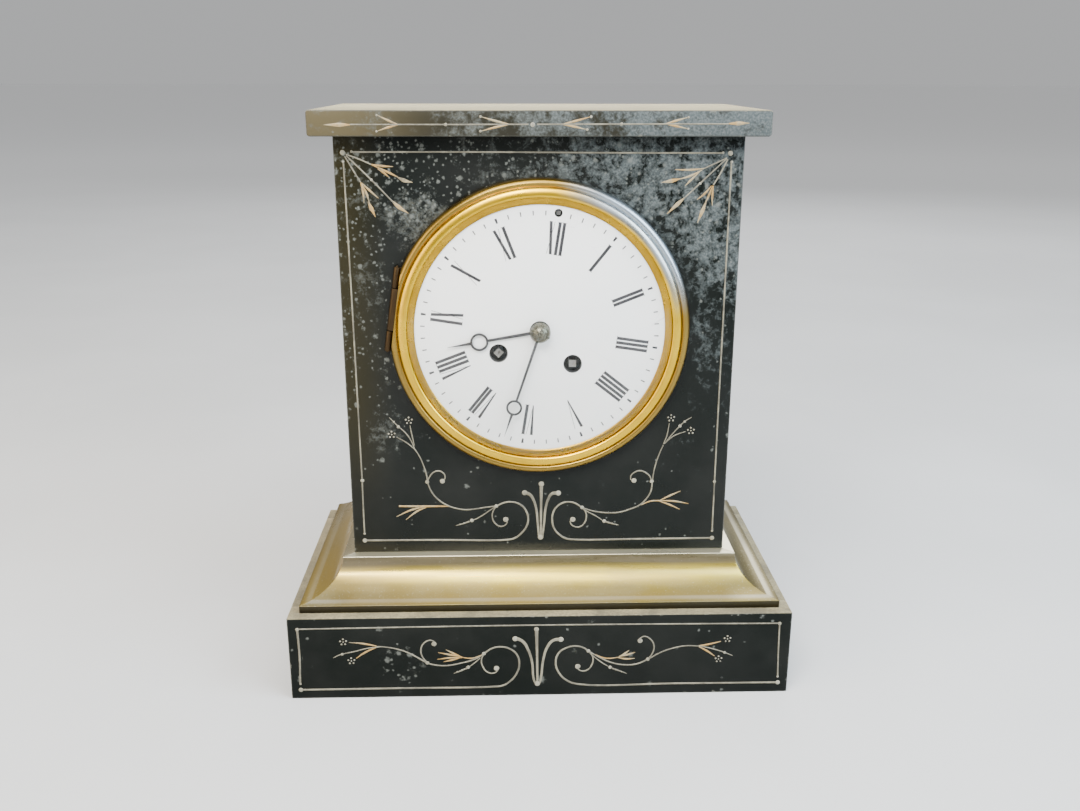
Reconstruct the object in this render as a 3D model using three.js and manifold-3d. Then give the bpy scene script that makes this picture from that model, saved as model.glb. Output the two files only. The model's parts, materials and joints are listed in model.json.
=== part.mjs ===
// Slate mantel clock: a cemented slate case, a round eight-day striking movement, a bell and a
// short pendulum. Units are millimetres, +Z is up and the dial faces -Y.
// The origin is at the middle of the base's underside.
import * as THREE from "three";
import { mergeVertices } from "three/addons/utils/BufferGeometryUtils.js";
import Module from "manifold-3d";

const wasm = await Module();
wasm.setup();

// Slate case
const BASE_WIDTH = 210;
const BASE_DEPTH = 116;
const BASE_HEIGHT = 37.5;
const BASE_SLAB = 11;
const BED_THICKNESS = 10;
const FOOT_LEDGE = 4.6;
const FILLET_HEIGHT = 3.3;
const COVE_RUN = 16.4;
const COVE_RISE = 14.5;
const TOP_LEDGE = 4.5;
const BODY_HEIGHT = 174;
const BODY_WALL = 12;
const BACK_WALL = 11;
const BACK_STEP = 6;
const CORNICE_HEIGHT = 9.7;
const CORNICE_SIDE_OVERHANG = 8.5;
const CORNICE_FRONT_OVERHANG = 7;
const CORNICE_EDGE = 0.7;

// Dial opening, front ring and bezel
const DIAL_HEIGHT = 153;
const MOVEMENT_TURN = THREE.MathUtils.degToRad(8.7);
const BEZEL_RADIUS = 60.7;
const BEZEL_OVERLAP = 6.7;
const BEZEL_WIDTH = 7.1;
const BEZEL_GROOVE = 3.5;
const BEZEL_PROUD = 5.4;
const BEZEL_SKIRT = 0.95;
const RING_FLANGE = 1.5;
const RING_WALL = 1.2;
const RING_TUBE_LENGTH = 14;
const RING_LEDGE_WIDTH = 2.7;
const RING_LEDGE = 1;
const GLASS_THICKNESS = 1;
const GLASS_DOME = 8.4;
const SIGHT_RING_WIDTH = 3.1;
const SIGHT_RING_DEPTH = 0.3;
const FRONT_HINGE_LENGTH = 34.4;
const FRONT_HINGE_SEAT = 1;
const FRONT_HINGE_RADIUS = 1.3;
const FRONT_PIN_RADIUS = 0.5;

// Dial and hands
const DIAL_PROUD = 2.3;
const DIAL_DOME = 0.8;
const ENAMEL_THICKNESS = 1.6;
const PAN_THICKNESS = 0.8;
const DIAL_FOOT_RADIUS = 2;
const DIAL_FOOT_CIRCLE = 36;
const WINDING_HOLE_RADIUS = 3.7;
const CENTRE_HOLE_RADIUS = 4.2;
const REGULATOR_HOLE_RADIUS = 1.6;
const REGULATOR_MARGIN = 2.8;
const REGULATOR_RADIUS = 0.9;
const HAND_THICKNESS = 0.6;
const HAND_WIDTH = 1.1;
const HOUR_HAND_MARGIN = 13.8;
const HOUR_MOON_PLACE = 0.676;
const HOUR_MOON_RADIUS = 3.5;
const HOUR_HAND_ANGLE = THREE.MathUtils.degToRad(251.6);
const MINUTE_HAND_MARGIN = 5.5;
const MINUTE_MOON_PLACE = 0.74;
const MINUTE_MOON_RADIUS = 3.1;
const MINUTE_HAND_ANGLE = THREE.MathUtils.degToRad(189.8);
const MOON_RIM = 1;
const COLLET_RADIUS = 4.2;
const COLLET_HEIGHT = 5.2;

// Movement frame
const PLATE_RADIUS = 40;
const PLATE_THICKNESS = 2.3;
const PLATE_SETBACK = 6;
const SPACING_ALLOWANCE = 9.25;
const PILLAR_RADIUS = 2.2;
const PIVOT_RADIUS = 0.5;
const FINE_ARBOR_RADIUS = 0.55;
const STOUT_ARBOR_RADIUS = 0.9;
const CENTRE_ARBOR_RADIUS = 1;
const RUN = 0.3;

// Toothed wheels
const ADDENDUM = 0.85;
const DEDENDUM = 1.45;
const DEPTHING = 0.05;
const WHEEL_THICKNESS = 1.2;
const GREAT_WHEEL_THICKNESS = 2;
const PINION_LENGTH = 4;
const GREAT_MODULE = 0.535;
const GREAT_TEETH = 54;
const INTERMEDIATE_LEAVES = 9;
const INTERMEDIATE_MODULE = 0.5;
const INTERMEDIATE_TEETH = 54;
const CENTRE_LEAVES = 7;
const CENTRE_MODULE = 0.36;
const CENTRE_TEETH = 72;
const THIRD_LEAVES = 6;
const THIRD_MODULE = 0.33;
const THIRD_TEETH = 69;
const ESCAPE_LEAVES = 6;
const ESCAPE_TEETH = 40;
const ESCAPE_RADIUS = 8.2;
const ESCAPE_TOOTH = 1.3;
const ESCAPE_SETBACK = 6.8;
const PALLET_DISTANCE = 11.6;
const PALLET_CLEARANCE = 0.75;
const STRIKE_MODULE = 0.3;
const SECOND_LEAVES = 12;
const SECOND_TEETH = 70;
const PIN_LEAVES = 7;
const PIN_TEETH = 54;
const LIFTING_PINS = 9;
const LIFTING_PIN_RADIUS = 0.5;
const LIFTING_PIN_LENGTH = 2.3;
const LIFTING_CIRCLE = 6.8;
const LOCKING_LEAVES = 6;
const LOCKING_TEETH = 42;
const FLY_LEAVES = 6;
const FLY_RADIUS = 5.8;
const FLY_SHARE = 0.212;
const THIRD_WHEEL_PLACE = 0.37;
const LOCKING_WHEEL_PLACE = 0.491;
const MOTION_MODULE = 0.6;
const CANNON_LEAVES = 10;
const MINUTE_WHEEL_TEETH = 30;
const MINUTE_LEAVES = 8;
const HOUR_WHEEL_TEETH = 32;
const CANNON_PIPE_RADIUS = 1.9;
const HOUR_PIPE_RADIUS = 3;
const MINUTE_STUD_RADIUS = 0.7;

// Barrels and winding work
const BARREL_HALF_SPAN = 15.2;
const BARREL_DROP = 11.4;
const BARREL_RADIUS = 13.2;
const BARREL_ROOM = 15;
const BARREL_WALL = 1;
const WINDING_SQUARE = 2.9;
const WINDING_ARBOR_RADIUS = 2.2;
const BARREL_PIVOT_RADIUS = 1.2;
const BARREL_CORE_RADIUS = 4;
const RATCHET_RADIUS = 5.6;
const RATCHET_TEETH = 18;
const RATCHET_TOOTH = 1;
const CLICK_PIVOT_DISTANCE = 9.4;
const CLICK_HUB_RADIUS = 2;
const CLICK_STUD_RADIUS = 0.9;

// Pendulum, bell and hammer
const CRUTCH_LENGTH = 30;
const SUSPENSION_PIN_RADIUS = 1;
const PENDULUM_LENGTH = 108;
const PENDULUM_ROD_RADIUS = 0.9;
const PENDULUM_EYE_RADIUS = 2.8;
const BOB_RADIUS = 18;
const BOB_THICKNESS = 8;
const BELL_RADIUS = 33;
const BELL_CLEARANCE = 6;
const BELL_WALL = 1.6;
const BELL_GAP = 15.9;
const COCK_SETBACK = 6.4;
const PENDULUM_SETBACK = 11.9;
const BELL_CENTRE = [-4, -2];
const BELL_POST_RADIUS = 2.2;
const HAMMER_ARBOR = [-30.5, 22];
const HAMMER_RADIUS = 3.5;
const HAMMER_GAP = 0.8;
const HAMMER_DIRECTION = THREE.MathUtils.degToRad(175);
const COUNT_WHEEL_RADIUS = 11.5;

// Straps, back ring and back door
const STRAP_ANGLE = THREE.MathUtils.degToRad(150);
const STRAP_THICKNESS = 1.6;
const STRAP_WIDTH = 8;
const STRAP_SETBACK = 12.9;
const STRAP_SCREW_INSET = 4.6;
const STRAP_SCREW_RADIUS = 1.5;
const BACK_HOLE_STEP = 3.8;
const BACK_RING_WIDTH = 15;
const BACK_RING_OVERLAP = 5.8;
const BACK_RING_FLANGE = 1.4;
const BACK_RING_TUBE = 8;
const DOOR_OVERLAP = 1.5;
const DOOR_THICKNESS = 1.2;
const DOOR_DOME = 1.6;
const DOOR_HINGE_RADIUS = 1.6;
const DOOR_PIN_RADIUS = 0.7;

// Curve steps
const CASE_STEPS = 40;
const RING_STEPS = 32;
const DRUM_STEPS = 22;
const SMALL_STEPS = 12;
const SCREW_STEPS = 8;
const PIVOT_STEPS = 6;

// Case dimensions that follow
const caseInset = FOOT_LEDGE + COVE_RUN + TOP_LEDGE;
const bodyHalfWidth = BASE_WIDTH / 2 - caseInset;
const bodyFront = -BASE_DEPTH / 2 + caseInset;
const bodyBack = BASE_DEPTH / 2 - BACK_STEP;
const bodyBottom = BASE_HEIGHT + FILLET_HEIGHT + COVE_RISE;
const bodyTop = bodyBottom + BODY_HEIGHT;

// Radii that follow from the bezel
const frontHoleRadius = BEZEL_RADIUS - BEZEL_OVERLAP;
const bezelLipRadius = BEZEL_RADIUS - BEZEL_WIDTH;
const skirtInner = BEZEL_RADIUS - BEZEL_SKIRT;
const ringFlangeRadius = skirtInner - 2 * RUN;
const sightRadius = bezelLipRadius - SIGHT_RING_WIDTH;
const regulatorDistance = sightRadius - REGULATOR_MARGIN;
const hourHandLength = sightRadius - HOUR_HAND_MARGIN;
const minuteHandLength = sightRadius - MINUTE_HAND_MARGIN;
const backHoleRadius = frontHoleRadius - BACK_HOLE_STEP;
const backRingRadius = backHoleRadius + BACK_RING_OVERLAP;
const backRingOpening = backRingRadius - BACK_RING_WIDTH;
const doorRadius = backRingOpening + DOOR_OVERLAP;

// Depths of the front work, measured along Y
const tubeOuter = frontHoleRadius - 2 * RUN;
const tubeInner = tubeOuter - RING_WALL;
const flangeFront = bodyFront - RING_FLANGE;
const dialFront = bodyFront - DIAL_PROUD;
const dialBack = dialFront + ENAMEL_THICKNESS;
const panBack = dialBack + PAN_THICKNESS;
const dialRadius = tubeInner - RUN;
const strapRadius = tubeInner - STRAP_THICKNESS;
const strapScrewCircle = strapRadius - STRAP_SCREW_INSET;
const plateFront = bodyFront + PLATE_SETBACK;
const plateInner = plateFront + PLATE_THICKNESS;
const plateSpacing = (bodyBack - bodyFront) / 2 - SPACING_ALLOWANCE;
const backPlateInner = plateInner + plateSpacing;
const backPlateOuter = backPlateInner + PLATE_THICKNESS;
const hourHandBack = dialFront - DIAL_DOME - 0.4;
const minuteHandBack = hourHandBack - HAND_THICKNESS - 0.6;
const colletBack = minuteHandBack - HAND_THICKNESS;
const colletFront = colletBack - COLLET_HEIGHT;

// Turned movement pieces use polar places in the plane of the dial
function polar(radius, angle) {
  return [radius * Math.cos(angle), radius * Math.sin(angle)];
}

function offset(from, radius, angle) {
  const step = polar(radius, angle);
  return [from[0] + step[0], from[1] + step[1]];
}

function directionTo(from, to) {
  return Math.atan2(to[1] - from[1], to[0] - from[0]);
}

// The place at the given distances from two others, on the left of the way from the first
function placeFrom(first, firstDistance, second, secondDistance) {
  const span = Math.hypot(second[0] - first[0], second[1] - first[1]);
  const along = (firstDistance ** 2 - secondDistance ** 2 + span ** 2) / (2 * span);
  const aside = Math.sqrt(firstDistance ** 2 - along ** 2);
  const heading = directionTo(first, second);
  return offset(offset(first, along, heading), aside, heading + Math.PI / 2);
}

// Solids
function toSolid(geometry) {
  const bare = geometry.index ? geometry : mergeVertices(geometry);
  bare.deleteAttribute("normal");
  bare.deleteAttribute("uv");
  const merged = mergeVertices(bare);
  const corners = merged.index.array;
  const kept = [];
  for (let i = 0; i < corners.length; i += 3) {
    const [a, b, c] = [corners[i], corners[i + 1], corners[i + 2]];
    if (a !== b && b !== c && c !== a) kept.push(a, b, c);
  }
  const vertProperties = new Float32Array(merged.attributes.position.array);
  const triVerts = new Uint32Array(kept);
  return new wasm.Manifold(new wasm.Mesh({ numProp: 3, vertProperties, triVerts }));
}

function toGeometry(solid) {
  const mesh = solid.getMesh();
  const geometry = new THREE.BufferGeometry();
  geometry.setAttribute("position", new THREE.BufferAttribute(mesh.vertProperties, 3));
  geometry.setIndex(new THREE.BufferAttribute(mesh.triVerts, 1));
  geometry.computeVertexNormals();
  return geometry;
}

function joined(...solids) {
  return solids.reduce((whole, solid) => whole.add(solid));
}

function block(x0, x1, y0, y1, z0, z1) {
  const geometry = new THREE.BoxGeometry(x1 - x0, y1 - y0, z1 - z0);
  geometry.translate((x0 + x1) / 2, (y0 + y1) / 2, (z0 + z1) / 2);
  return toSolid(geometry);
}

// A profile of [radius, depth] points revolved about the Y direction
function revolved(profile, steps, at = [0, 0]) {
  const points = profile.map(([radius, depth]) => new THREE.Vector2(radius, depth));
  const outward = THREE.ShapeUtils.area(points) > 0 ? points : points.reverse();
  const geometry = new THREE.LatheGeometry([...outward, outward[0]], steps);
  geometry.translate(at[0], 0, at[1]);
  return toSolid(geometry);
}

function rod(radius, y0, y1, at = [0, 0], steps = SMALL_STEPS) {
  return revolved([[0, y0], [radius, y0], [radius, y1], [0, y1]], steps, at);
}

// An outline in the plane of the dial, given thickness from y0 back to y1
function slab(shape, y0, y1) {
  const settings = { depth: y1 - y0, bevelEnabled: false, curveSegments: SMALL_STEPS };
  const geometry = new THREE.ExtrudeGeometry(shape, settings);
  geometry.rotateX(Math.PI / 2);
  geometry.translate(0, y1, 0);
  return toSolid(geometry);
}

function outline(points) {
  return new THREE.Shape(points.map(([x, z]) => new THREE.Vector2(x, z)));
}

function circlePoints(radius, steps, at = [0, 0]) {
  const points = [];
  for (let i = 0; i < steps; i += 1) points.push(offset(at, radius, (2 * Math.PI * i) / steps));
  return points;
}

function addHole(shape, radius, steps, at = [0, 0]) {
  const points = circlePoints(radius, steps, at).map(([x, z]) => new THREE.Vector2(x, z));
  shape.holes.push(new THREE.Path(points));
}

function turned(solid, angle) {
  const geometry = toGeometry(solid);
  geometry.rotateY(angle);
  return toSolid(geometry);
}

function moved(solid, x, y, z) {
  const geometry = toGeometry(solid);
  geometry.translate(x, y, z);
  return toSolid(geometry);
}

// Materials
function finish(color, roughness, metalness) {
  return new THREE.MeshStandardMaterial({ color, roughness, metalness });
}

const slate = finish(0x23282a, 0.45, 0);
const brass = finish(0xb08d3c, 0.35, 1);
const steel = finish(0x6f7376, 0.35, 1);
const darkSteel = finish(0x4a4c4e, 0.4, 1);
const bellMetal = finish(0xb9a468, 0.3, 1);
const enamel = finish(0xf4f4ee, 0.2, 0);
const glass = new THREE.MeshStandardMaterial({ color: 0xe8f0ee, transparent: true, opacity: 0.2 });

const clock = new THREE.Group();
const movement = new THREE.Group();
movement.position.set(0, 0, DIAL_HEIGHT);
movement.rotation.y = MOVEMENT_TURN;
clock.add(movement);

function addPiece(parent, name, solid, material, at = [0, 0]) {
  const mesh = new THREE.Mesh(toGeometry(solid), material);
  mesh.name = name;
  mesh.position.set(at[0], 0, at[1]);
  parent.add(mesh);
}

// Base: four walls round a bed slab
function addBase() {
  const x = BASE_WIDTH / 2;
  const y = BASE_DEPTH / 2;
  const inX = x - BASE_SLAB;
  const inY = y - BASE_SLAB;
  addPiece(clock, "base_front_slab", block(-x, x, -y, -inY, 0, BASE_HEIGHT), slate);
  addPiece(clock, "base_back_slab", block(-x, x, inY, y, 0, BASE_HEIGHT), slate);
  addPiece(clock, "base_left_slab", block(-x, -inX, -inY, inY, 0, BASE_HEIGHT), slate);
  addPiece(clock, "base_right_slab", block(inX, x, -inY, inY, 0, BASE_HEIGHT), slate);
  const bed = block(-inX, inX, -inY, inY, BASE_HEIGHT - BED_THICKNESS, BASE_HEIGHT);
  addPiece(clock, "bed_slab", bed, slate);
}

// Cove section as [inset from the base's edge, height]
function coveSection() {
  const coveSteps = 8;
  const foot = BASE_HEIGHT + FILLET_HEIGHT;
  const points = [[FOOT_LEDGE, BASE_HEIGHT]];
  for (let i = 0; i <= coveSteps; i += 1) {
    const t = (Math.PI / 2) * (i / coveSteps);
    points.push([FOOT_LEDGE + COVE_RUN * Math.sin(t), foot + COVE_RISE * (1 - Math.cos(t))]);
  }
  points.push([caseInset + BODY_WALL, bodyBottom]);
  points.push([caseInset + BODY_WALL, BASE_HEIGHT]);
  return points;
}

// A cove length whose two ends are placed by functions of the inset, so that corners are mitred
function coveLength(place) {
  const section = coveSection();
  const shape = new THREE.Shape(section.map(([inset, z]) => new THREE.Vector2(inset, z)));
  const geometry = new THREE.ExtrudeGeometry(shape, { depth: 1, bevelEnabled: false });
  const position = geometry.attributes.position;
  for (let i = 0; i < position.count; i += 1) {
    const [x, y] = place(position.getX(i), position.getZ(i));
    position.setXYZ(i, x, y, position.getY(i));
  }
  return toSolid(geometry);
}

function addCove() {
  const x = BASE_WIDTH / 2;
  const y = BASE_DEPTH / 2;
  const front = coveLength((inset, end) => [(end * 2 - 1) * (x - inset), -y + inset]);
  const left = coveLength((inset, end) => [-x + inset, y + end * (inset - 2 * y)]);
  const right = coveLength((inset, end) => [x - inset, -y + inset + end * (2 * y - inset)]);
  addPiece(clock, "cove_front", front, slate);
  addPiece(clock, "cove_left", left, slate);
  addPiece(clock, "cove_right", right, slate);
  const inX = bodyHalfWidth - BODY_WALL;
  const rail = block(-inX, inX, bodyBack - BACK_WALL, y, BASE_HEIGHT, bodyBottom);
  addPiece(clock, "cove_back_rail", rail, slate);
}

function wallWithHole(y0, y1, holeRadius) {
  const shape = outline([
    [-bodyHalfWidth, bodyBottom],
    [bodyHalfWidth, bodyBottom],
    [bodyHalfWidth, bodyTop],
    [-bodyHalfWidth, bodyTop],
  ]);
  addHole(shape, holeRadius, CASE_STEPS, [0, DIAL_HEIGHT]);
  return slab(shape, y0, y1);
}

function addBody() {
  const x = bodyHalfWidth;
  const inX = x - BODY_WALL;
  const inFront = bodyFront + BODY_WALL;
  const inBack = bodyBack - BACK_WALL;
  addPiece(clock, "body_front_slab", wallWithHole(bodyFront, inFront, frontHoleRadius), slate);
  addPiece(clock, "body_back_slab", wallWithHole(inBack, bodyBack, backHoleRadius), slate);
  addPiece(clock, "body_left_slab", block(-x, -inX, inFront, inBack, bodyBottom, bodyTop), slate);
  addPiece(clock, "body_right_slab", block(inX, x, inFront, inBack, bodyBottom, bodyTop), slate);
}

// Cornice slab with its front, side and top arrises eased
function addCornice() {
  const halfWidth = bodyHalfWidth + CORNICE_SIDE_OVERHANG;
  const front = bodyFront - CORNICE_FRONT_OVERHANG;
  const edge = CORNICE_EDGE;
  const top = bodyTop + CORNICE_HEIGHT;
  const shape = outline([
    [-halfWidth + edge, bodyTop],
    [halfWidth - edge, bodyTop],
    [halfWidth, bodyTop + edge],
    [halfWidth, top - edge],
    [halfWidth - edge, top],
    [-halfWidth + edge, top],
    [-halfWidth, top - edge],
    [-halfWidth, bodyTop + edge],
  ]);
  addPiece(clock, "cornice_slab", slab(shape, front, bodyBack), slate);
}

function uprightRod(radius, x, y, z0, z1, steps = SCREW_STEPS) {
  const geometry = new THREE.CylinderGeometry(radius, radius, z1 - z0, steps);
  geometry.rotateX(Math.PI / 2);
  geometry.translate(x, y, (z0 + z1) / 2);
  return toSolid(geometry);
}

// Front hinge: its barrel takes the place of a strip cut off the bezel's rim at nine o'clock
const frontHingeX = -(BEZEL_RADIUS - FRONT_HINGE_SEAT);
const frontHingeY = bodyFront - FRONT_HINGE_RADIUS - RUN;
const hingeFlat = frontHingeX + FRONT_HINGE_RADIUS + RUN;
const bezelKnuckle = FRONT_HINGE_LENGTH / 4;
const frontHingeBore = FRONT_PIN_RADIUS + RUN;

function addFrontRing() {
  const tubeBack = bodyFront + RING_TUBE_LENGTH;
  const ledgeInner = tubeInner - RING_LEDGE_WIDTH;
  let ring = revolved([
    [tubeInner, flangeFront],
    [ringFlangeRadius, flangeFront],
    [ringFlangeRadius, bodyFront],
    [tubeOuter, bodyFront],
    [tubeOuter, tubeBack],
    [tubeInner, tubeBack],
    [tubeInner, panBack + RING_LEDGE],
    [ledgeInner, panBack + RING_LEDGE],
    [ledgeInner, panBack],
    [tubeInner, panBack],
  ], RING_STEPS);
  const near = bezelKnuckle + RUN;
  const far = FRONT_HINGE_LENGTH / 2;
  const room = block(-BEZEL_RADIUS, hingeFlat, flangeFront - 1, bodyFront + 1, -near, near);
  ring = ring.subtract(room);
  for (const side of [-1, 1]) {
    const low = Math.min(side * near, side * far);
    const high = Math.max(side * near, side * far);
    const leafEdge = -Math.sqrt(ringFlangeRadius ** 2 - far ** 2) + RING_FLANGE;
    const leaf = block(frontHingeX, leafEdge, flangeFront, bodyFront - RUN, low, high);
    const barrel = uprightRod(
      FRONT_HINGE_RADIUS, frontHingeX, frontHingeY, low, high, SMALL_STEPS,
    );
    ring = joined(ring, leaf, barrel);
  }
  const reach = far + 1;
  const bore = uprightRod(
    frontHingeBore, frontHingeX, frontHingeY, -reach, reach, SMALL_STEPS,
  );
  addPiece(movement, "front_ring", ring.subtract(bore), brass);
}

// Bezel: a skirt over the ring's flange, a rounded rim, a groove and an inner bead
const bezelFront = bodyFront - BEZEL_PROUD;
const bezelBack = flangeFront - RUN;
const lipBack = bezelFront + 0.9;
const glassRadius = bezelLipRadius + 0.9;

function addBezel() {
  const grooveRadius = BEZEL_RADIUS - BEZEL_GROOVE;
  let bezel = revolved([
    [glassRadius + RUN, bezelBack],
    [glassRadius + RUN, lipBack],
    [bezelLipRadius, lipBack],
    [bezelLipRadius + 0.6, bezelFront],
    [bezelLipRadius + 1.9, bezelFront],
    [grooveRadius, bezelFront + 1.6],
    [grooveRadius + 0.5, bezelFront + 1.1],
    [grooveRadius + 1.9, bezelFront + 1.2],
    [BEZEL_RADIUS, bezelFront + 3],
    [BEZEL_RADIUS, bodyFront - RUN],
    [skirtInner, bodyFront - RUN],
    [skirtInner, bezelBack],
  ], RING_STEPS);
  const notchHalf = FRONT_HINGE_LENGTH / 2 + 1;
  const notchFront = bezelBack - 0.4;
  const notch = joined(
    block(
      -BEZEL_RADIUS - 1, -ringFlangeRadius * 0.95,
      notchFront, bodyFront + 1,
      -notchHalf, notchHalf,
    ),
    block(-BEZEL_RADIUS - 1, hingeFlat, bezelFront - 1, bodyFront + 1, -notchHalf, notchHalf),
  );
  bezel = bezel.subtract(notch);
  const leaf = block(
    frontHingeX, hingeFlat + 0.8,
    frontHingeY - FRONT_HINGE_RADIUS, notchFront,
    -bezelKnuckle, bezelKnuckle,
  );
  const barrel = uprightRod(
    FRONT_HINGE_RADIUS, frontHingeX, frontHingeY, -bezelKnuckle, bezelKnuckle, SMALL_STEPS,
  );
  bezel = joined(bezel, leaf, barrel);
  const reach = bezelKnuckle + 1;
  const bore = uprightRod(
    frontHingeBore, frontHingeX, frontHingeY, -reach, reach, SMALL_STEPS,
  );
  addPiece(movement, "bezel", bezel.subtract(bore), brass);
  const pinHalf = FRONT_HINGE_LENGTH / 2 + 0.6;
  const pin = uprightRod(FRONT_PIN_RADIUS, frontHingeX, frontHingeY, -pinHalf, pinHalf);
  addPiece(movement, "bezel_hinge_pin", pin, steel);
}

function addGlassAndSightRing() {
  const rim = lipBack + RUN;
  const domeSteps = 3;
  const outer = [];
  const inner = [];
  for (let i = 0; i <= domeSteps; i += 1) {
    const radius = glassRadius * (1 - i / domeSteps);
    const rise = GLASS_DOME * (1 - (radius / glassRadius) ** 2);
    outer.push([radius, rim - rise]);
    inner.unshift([radius, rim + GLASS_THICKNESS - rise]);
  }
  addPiece(movement, "bezel_glass", revolved([...outer, ...inner], RING_STEPS), glass);
  const seat = rim + GLASS_THICKNESS + RUN;
  const seatBack = seat + SIGHT_RING_DEPTH;
  const ring = revolved([
    [sightRadius, seatBack - 0.2],
    [sightRadius, seatBack],
    [glassRadius, seatBack],
    [glassRadius, seat],
    [bezelLipRadius + 0.2, seat - 0.2],
  ], RING_STEPS);
  addPiece(movement, "sight_ring", ring, brass);
}

// Arbor places in the movement
const centre = [0, 0];
const goingBarrelAt = [BARREL_HALF_SPAN, -BARREL_DROP];
const strikeBarrelAt = [-BARREL_HALF_SPAN, -BARREL_DROP];

function meshDistance(module, teeth, leaves) {
  return (module * (teeth + leaves)) / 2 + DEPTHING;
}

const intermediateAt = placeFrom(
  centre, meshDistance(INTERMEDIATE_MODULE, INTERMEDIATE_TEETH, CENTRE_LEAVES),
  goingBarrelAt, meshDistance(GREAT_MODULE, GREAT_TEETH, INTERMEDIATE_LEAVES),
);
const thirdAt = polar(
  meshDistance(CENTRE_MODULE, CENTRE_TEETH, THIRD_LEAVES), THREE.MathUtils.degToRad(105),
);
const thirdToEscape = meshDistance(THIRD_MODULE, THIRD_TEETH, ESCAPE_LEAVES);
const escapeAt = [0, thirdAt[1] + Math.sqrt(thirdToEscape ** 2 - thirdAt[0] ** 2)];
const palletAt = [0, escapeAt[1] + PALLET_DISTANCE];
const secondAt = offset(
  strikeBarrelAt, meshDistance(GREAT_MODULE, GREAT_TEETH, SECOND_LEAVES),
  THREE.MathUtils.degToRad(134),
);
const pinWheelAt = offset(
  secondAt, meshDistance(STRIKE_MODULE, SECOND_TEETH, PIN_LEAVES), THREE.MathUtils.degToRad(52),
);
const lockingAt = offset(
  pinWheelAt, meshDistance(STRIKE_MODULE, PIN_TEETH, LOCKING_LEAVES),
  THREE.MathUtils.degToRad(75),
);
const flyAt = offset(
  lockingAt, meshDistance(STRIKE_MODULE, LOCKING_TEETH, FLY_LEAVES),
  THREE.MathUtils.degToRad(40),
);
const minuteWheelAt = polar(
  meshDistance(MOTION_MODULE, MINUTE_WHEEL_TEETH, CANNON_LEAVES), THREE.MathUtils.degToRad(120),
);
const clickTurn = THREE.MathUtils.degToRad(25);
const clickAt = {
  going: offset(goingBarrelAt, CLICK_PIVOT_DISTANCE, -clickTurn),
  strike: offset(strikeBarrelAt, CLICK_PIVOT_DISTANCE, Math.PI + clickTurn),
};
const pillarPlaces = [[27, 22], [-34.6, 13.5], [-21, -29.5], [21, -29.5]];

// Depths between the plates
const barrelFront = plateInner + 3.2;
const barrelBack = barrelFront + plateSpacing - BARREL_ROOM;
const greatWheelBack = barrelBack + GREAT_WHEEL_THICKNESS;
const centreWheelFront = plateInner + 0.9;
const thirdWheelFront = plateInner + plateSpacing * THIRD_WHEEL_PLACE;
const intermediateWheelFront = backPlateInner - 3.8;
const escapeWheelFront = backPlateInner - ESCAPE_SETBACK;
const pinWheelFront = greatWheelBack + 1.3;
const pinionFront = barrelBack - 1;
const pinionBack = pinionFront + PINION_LENGTH;
const lockingWheelFront = plateInner + plateSpacing * LOCKING_WHEEL_PLACE;

// Outline of fine pointed teeth
function toothedPoints(teeth, module, phase) {
  const pitch = (2 * Math.PI) / teeth;
  const pitchRadius = (teeth * module) / 2;
  const points = [];
  for (let i = 0; i < teeth; i += 1) {
    const middle = phase + i * pitch;
    points.push(polar(pitchRadius + ADDENDUM * module, middle));
    points.push(polar(pitchRadius - DEDENDUM * module, middle + pitch / 2));
  }
  return points;
}

// Phase of a pinion whose leaves lie between the teeth of a wheel with a tooth at phase zero
function meshedPhase(direction, teeth, leaves) {
  const place = (direction * teeth) / (2 * Math.PI);
  return direction + Math.PI - ((0.5 - place) * 2 * Math.PI) / leaves;
}

// Openings between the crossings of a wheel
function addCrossings(shape, hub, rim, count, arm) {
  const outerSteps = 2;
  for (let i = 0; i < count; i += 1) {
    const start = (2 * Math.PI * i) / count;
    const end = (2 * Math.PI * (i + 1)) / count;
    const outerLean = Math.asin(arm / 2 / rim);
    const innerLean = Math.asin(arm / 2 / hub);
    const points = [];
    for (let k = 0; k <= outerSteps; k += 1) {
      const sweep = end - start - 2 * outerLean;
      points.push(polar(rim, start + outerLean + (sweep * k) / outerSteps));
    }
    points.push(polar(hub, end - innerLean), polar(hub, start + innerLean));
    shape.holes.push(new THREE.Path(points.map(([x, z]) => new THREE.Vector2(x, z))));
  }
}

function crossedWheel(teeth, module, y0, thickness) {
  const shape = outline(toothedPoints(teeth, module, 0));
  const root = (teeth * module) / 2 - DEDENDUM * module;
  addCrossings(shape, root * 0.3, root - 1.1, 4, root * 0.16);
  return slab(shape, y0, y0 + thickness);
}

function solidWheel(teeth, y0, thickness) {
  return slab(outline(toothedPoints(teeth, MOTION_MODULE, 0)), y0, y0 + thickness);
}

function pinion(leaves, module, phase, y0, y1) {
  return slab(outline(toothedPoints(leaves, module, phase)), y0, y1);
}

// Arbor between the plates, with thinner pivots running in them
function arbor(radius, front = plateInner + RUN, back = backPlateInner - RUN) {
  return revolved([
    [0, plateFront + RUN],
    [PIVOT_RADIUS, plateFront + RUN],
    [PIVOT_RADIUS, front],
    [radius, front],
    [radius, back],
    [PIVOT_RADIUS, back],
    [PIVOT_RADIUS, backPlateOuter - RUN],
    [0, backPlateOuter - RUN],
  ], PIVOT_STEPS);
}

function collet(radius, y0, y1) {
  return rod(radius, y0, y1, [0, 0], PIVOT_STEPS);
}

// Plates
const pivotHole = PIVOT_RADIUS + RUN;
const windingHole = WINDING_ARBOR_RADIUS + 0.4;

function plateShape() {
  return outline(circlePoints(PLATE_RADIUS, RING_STEPS));
}

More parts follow.
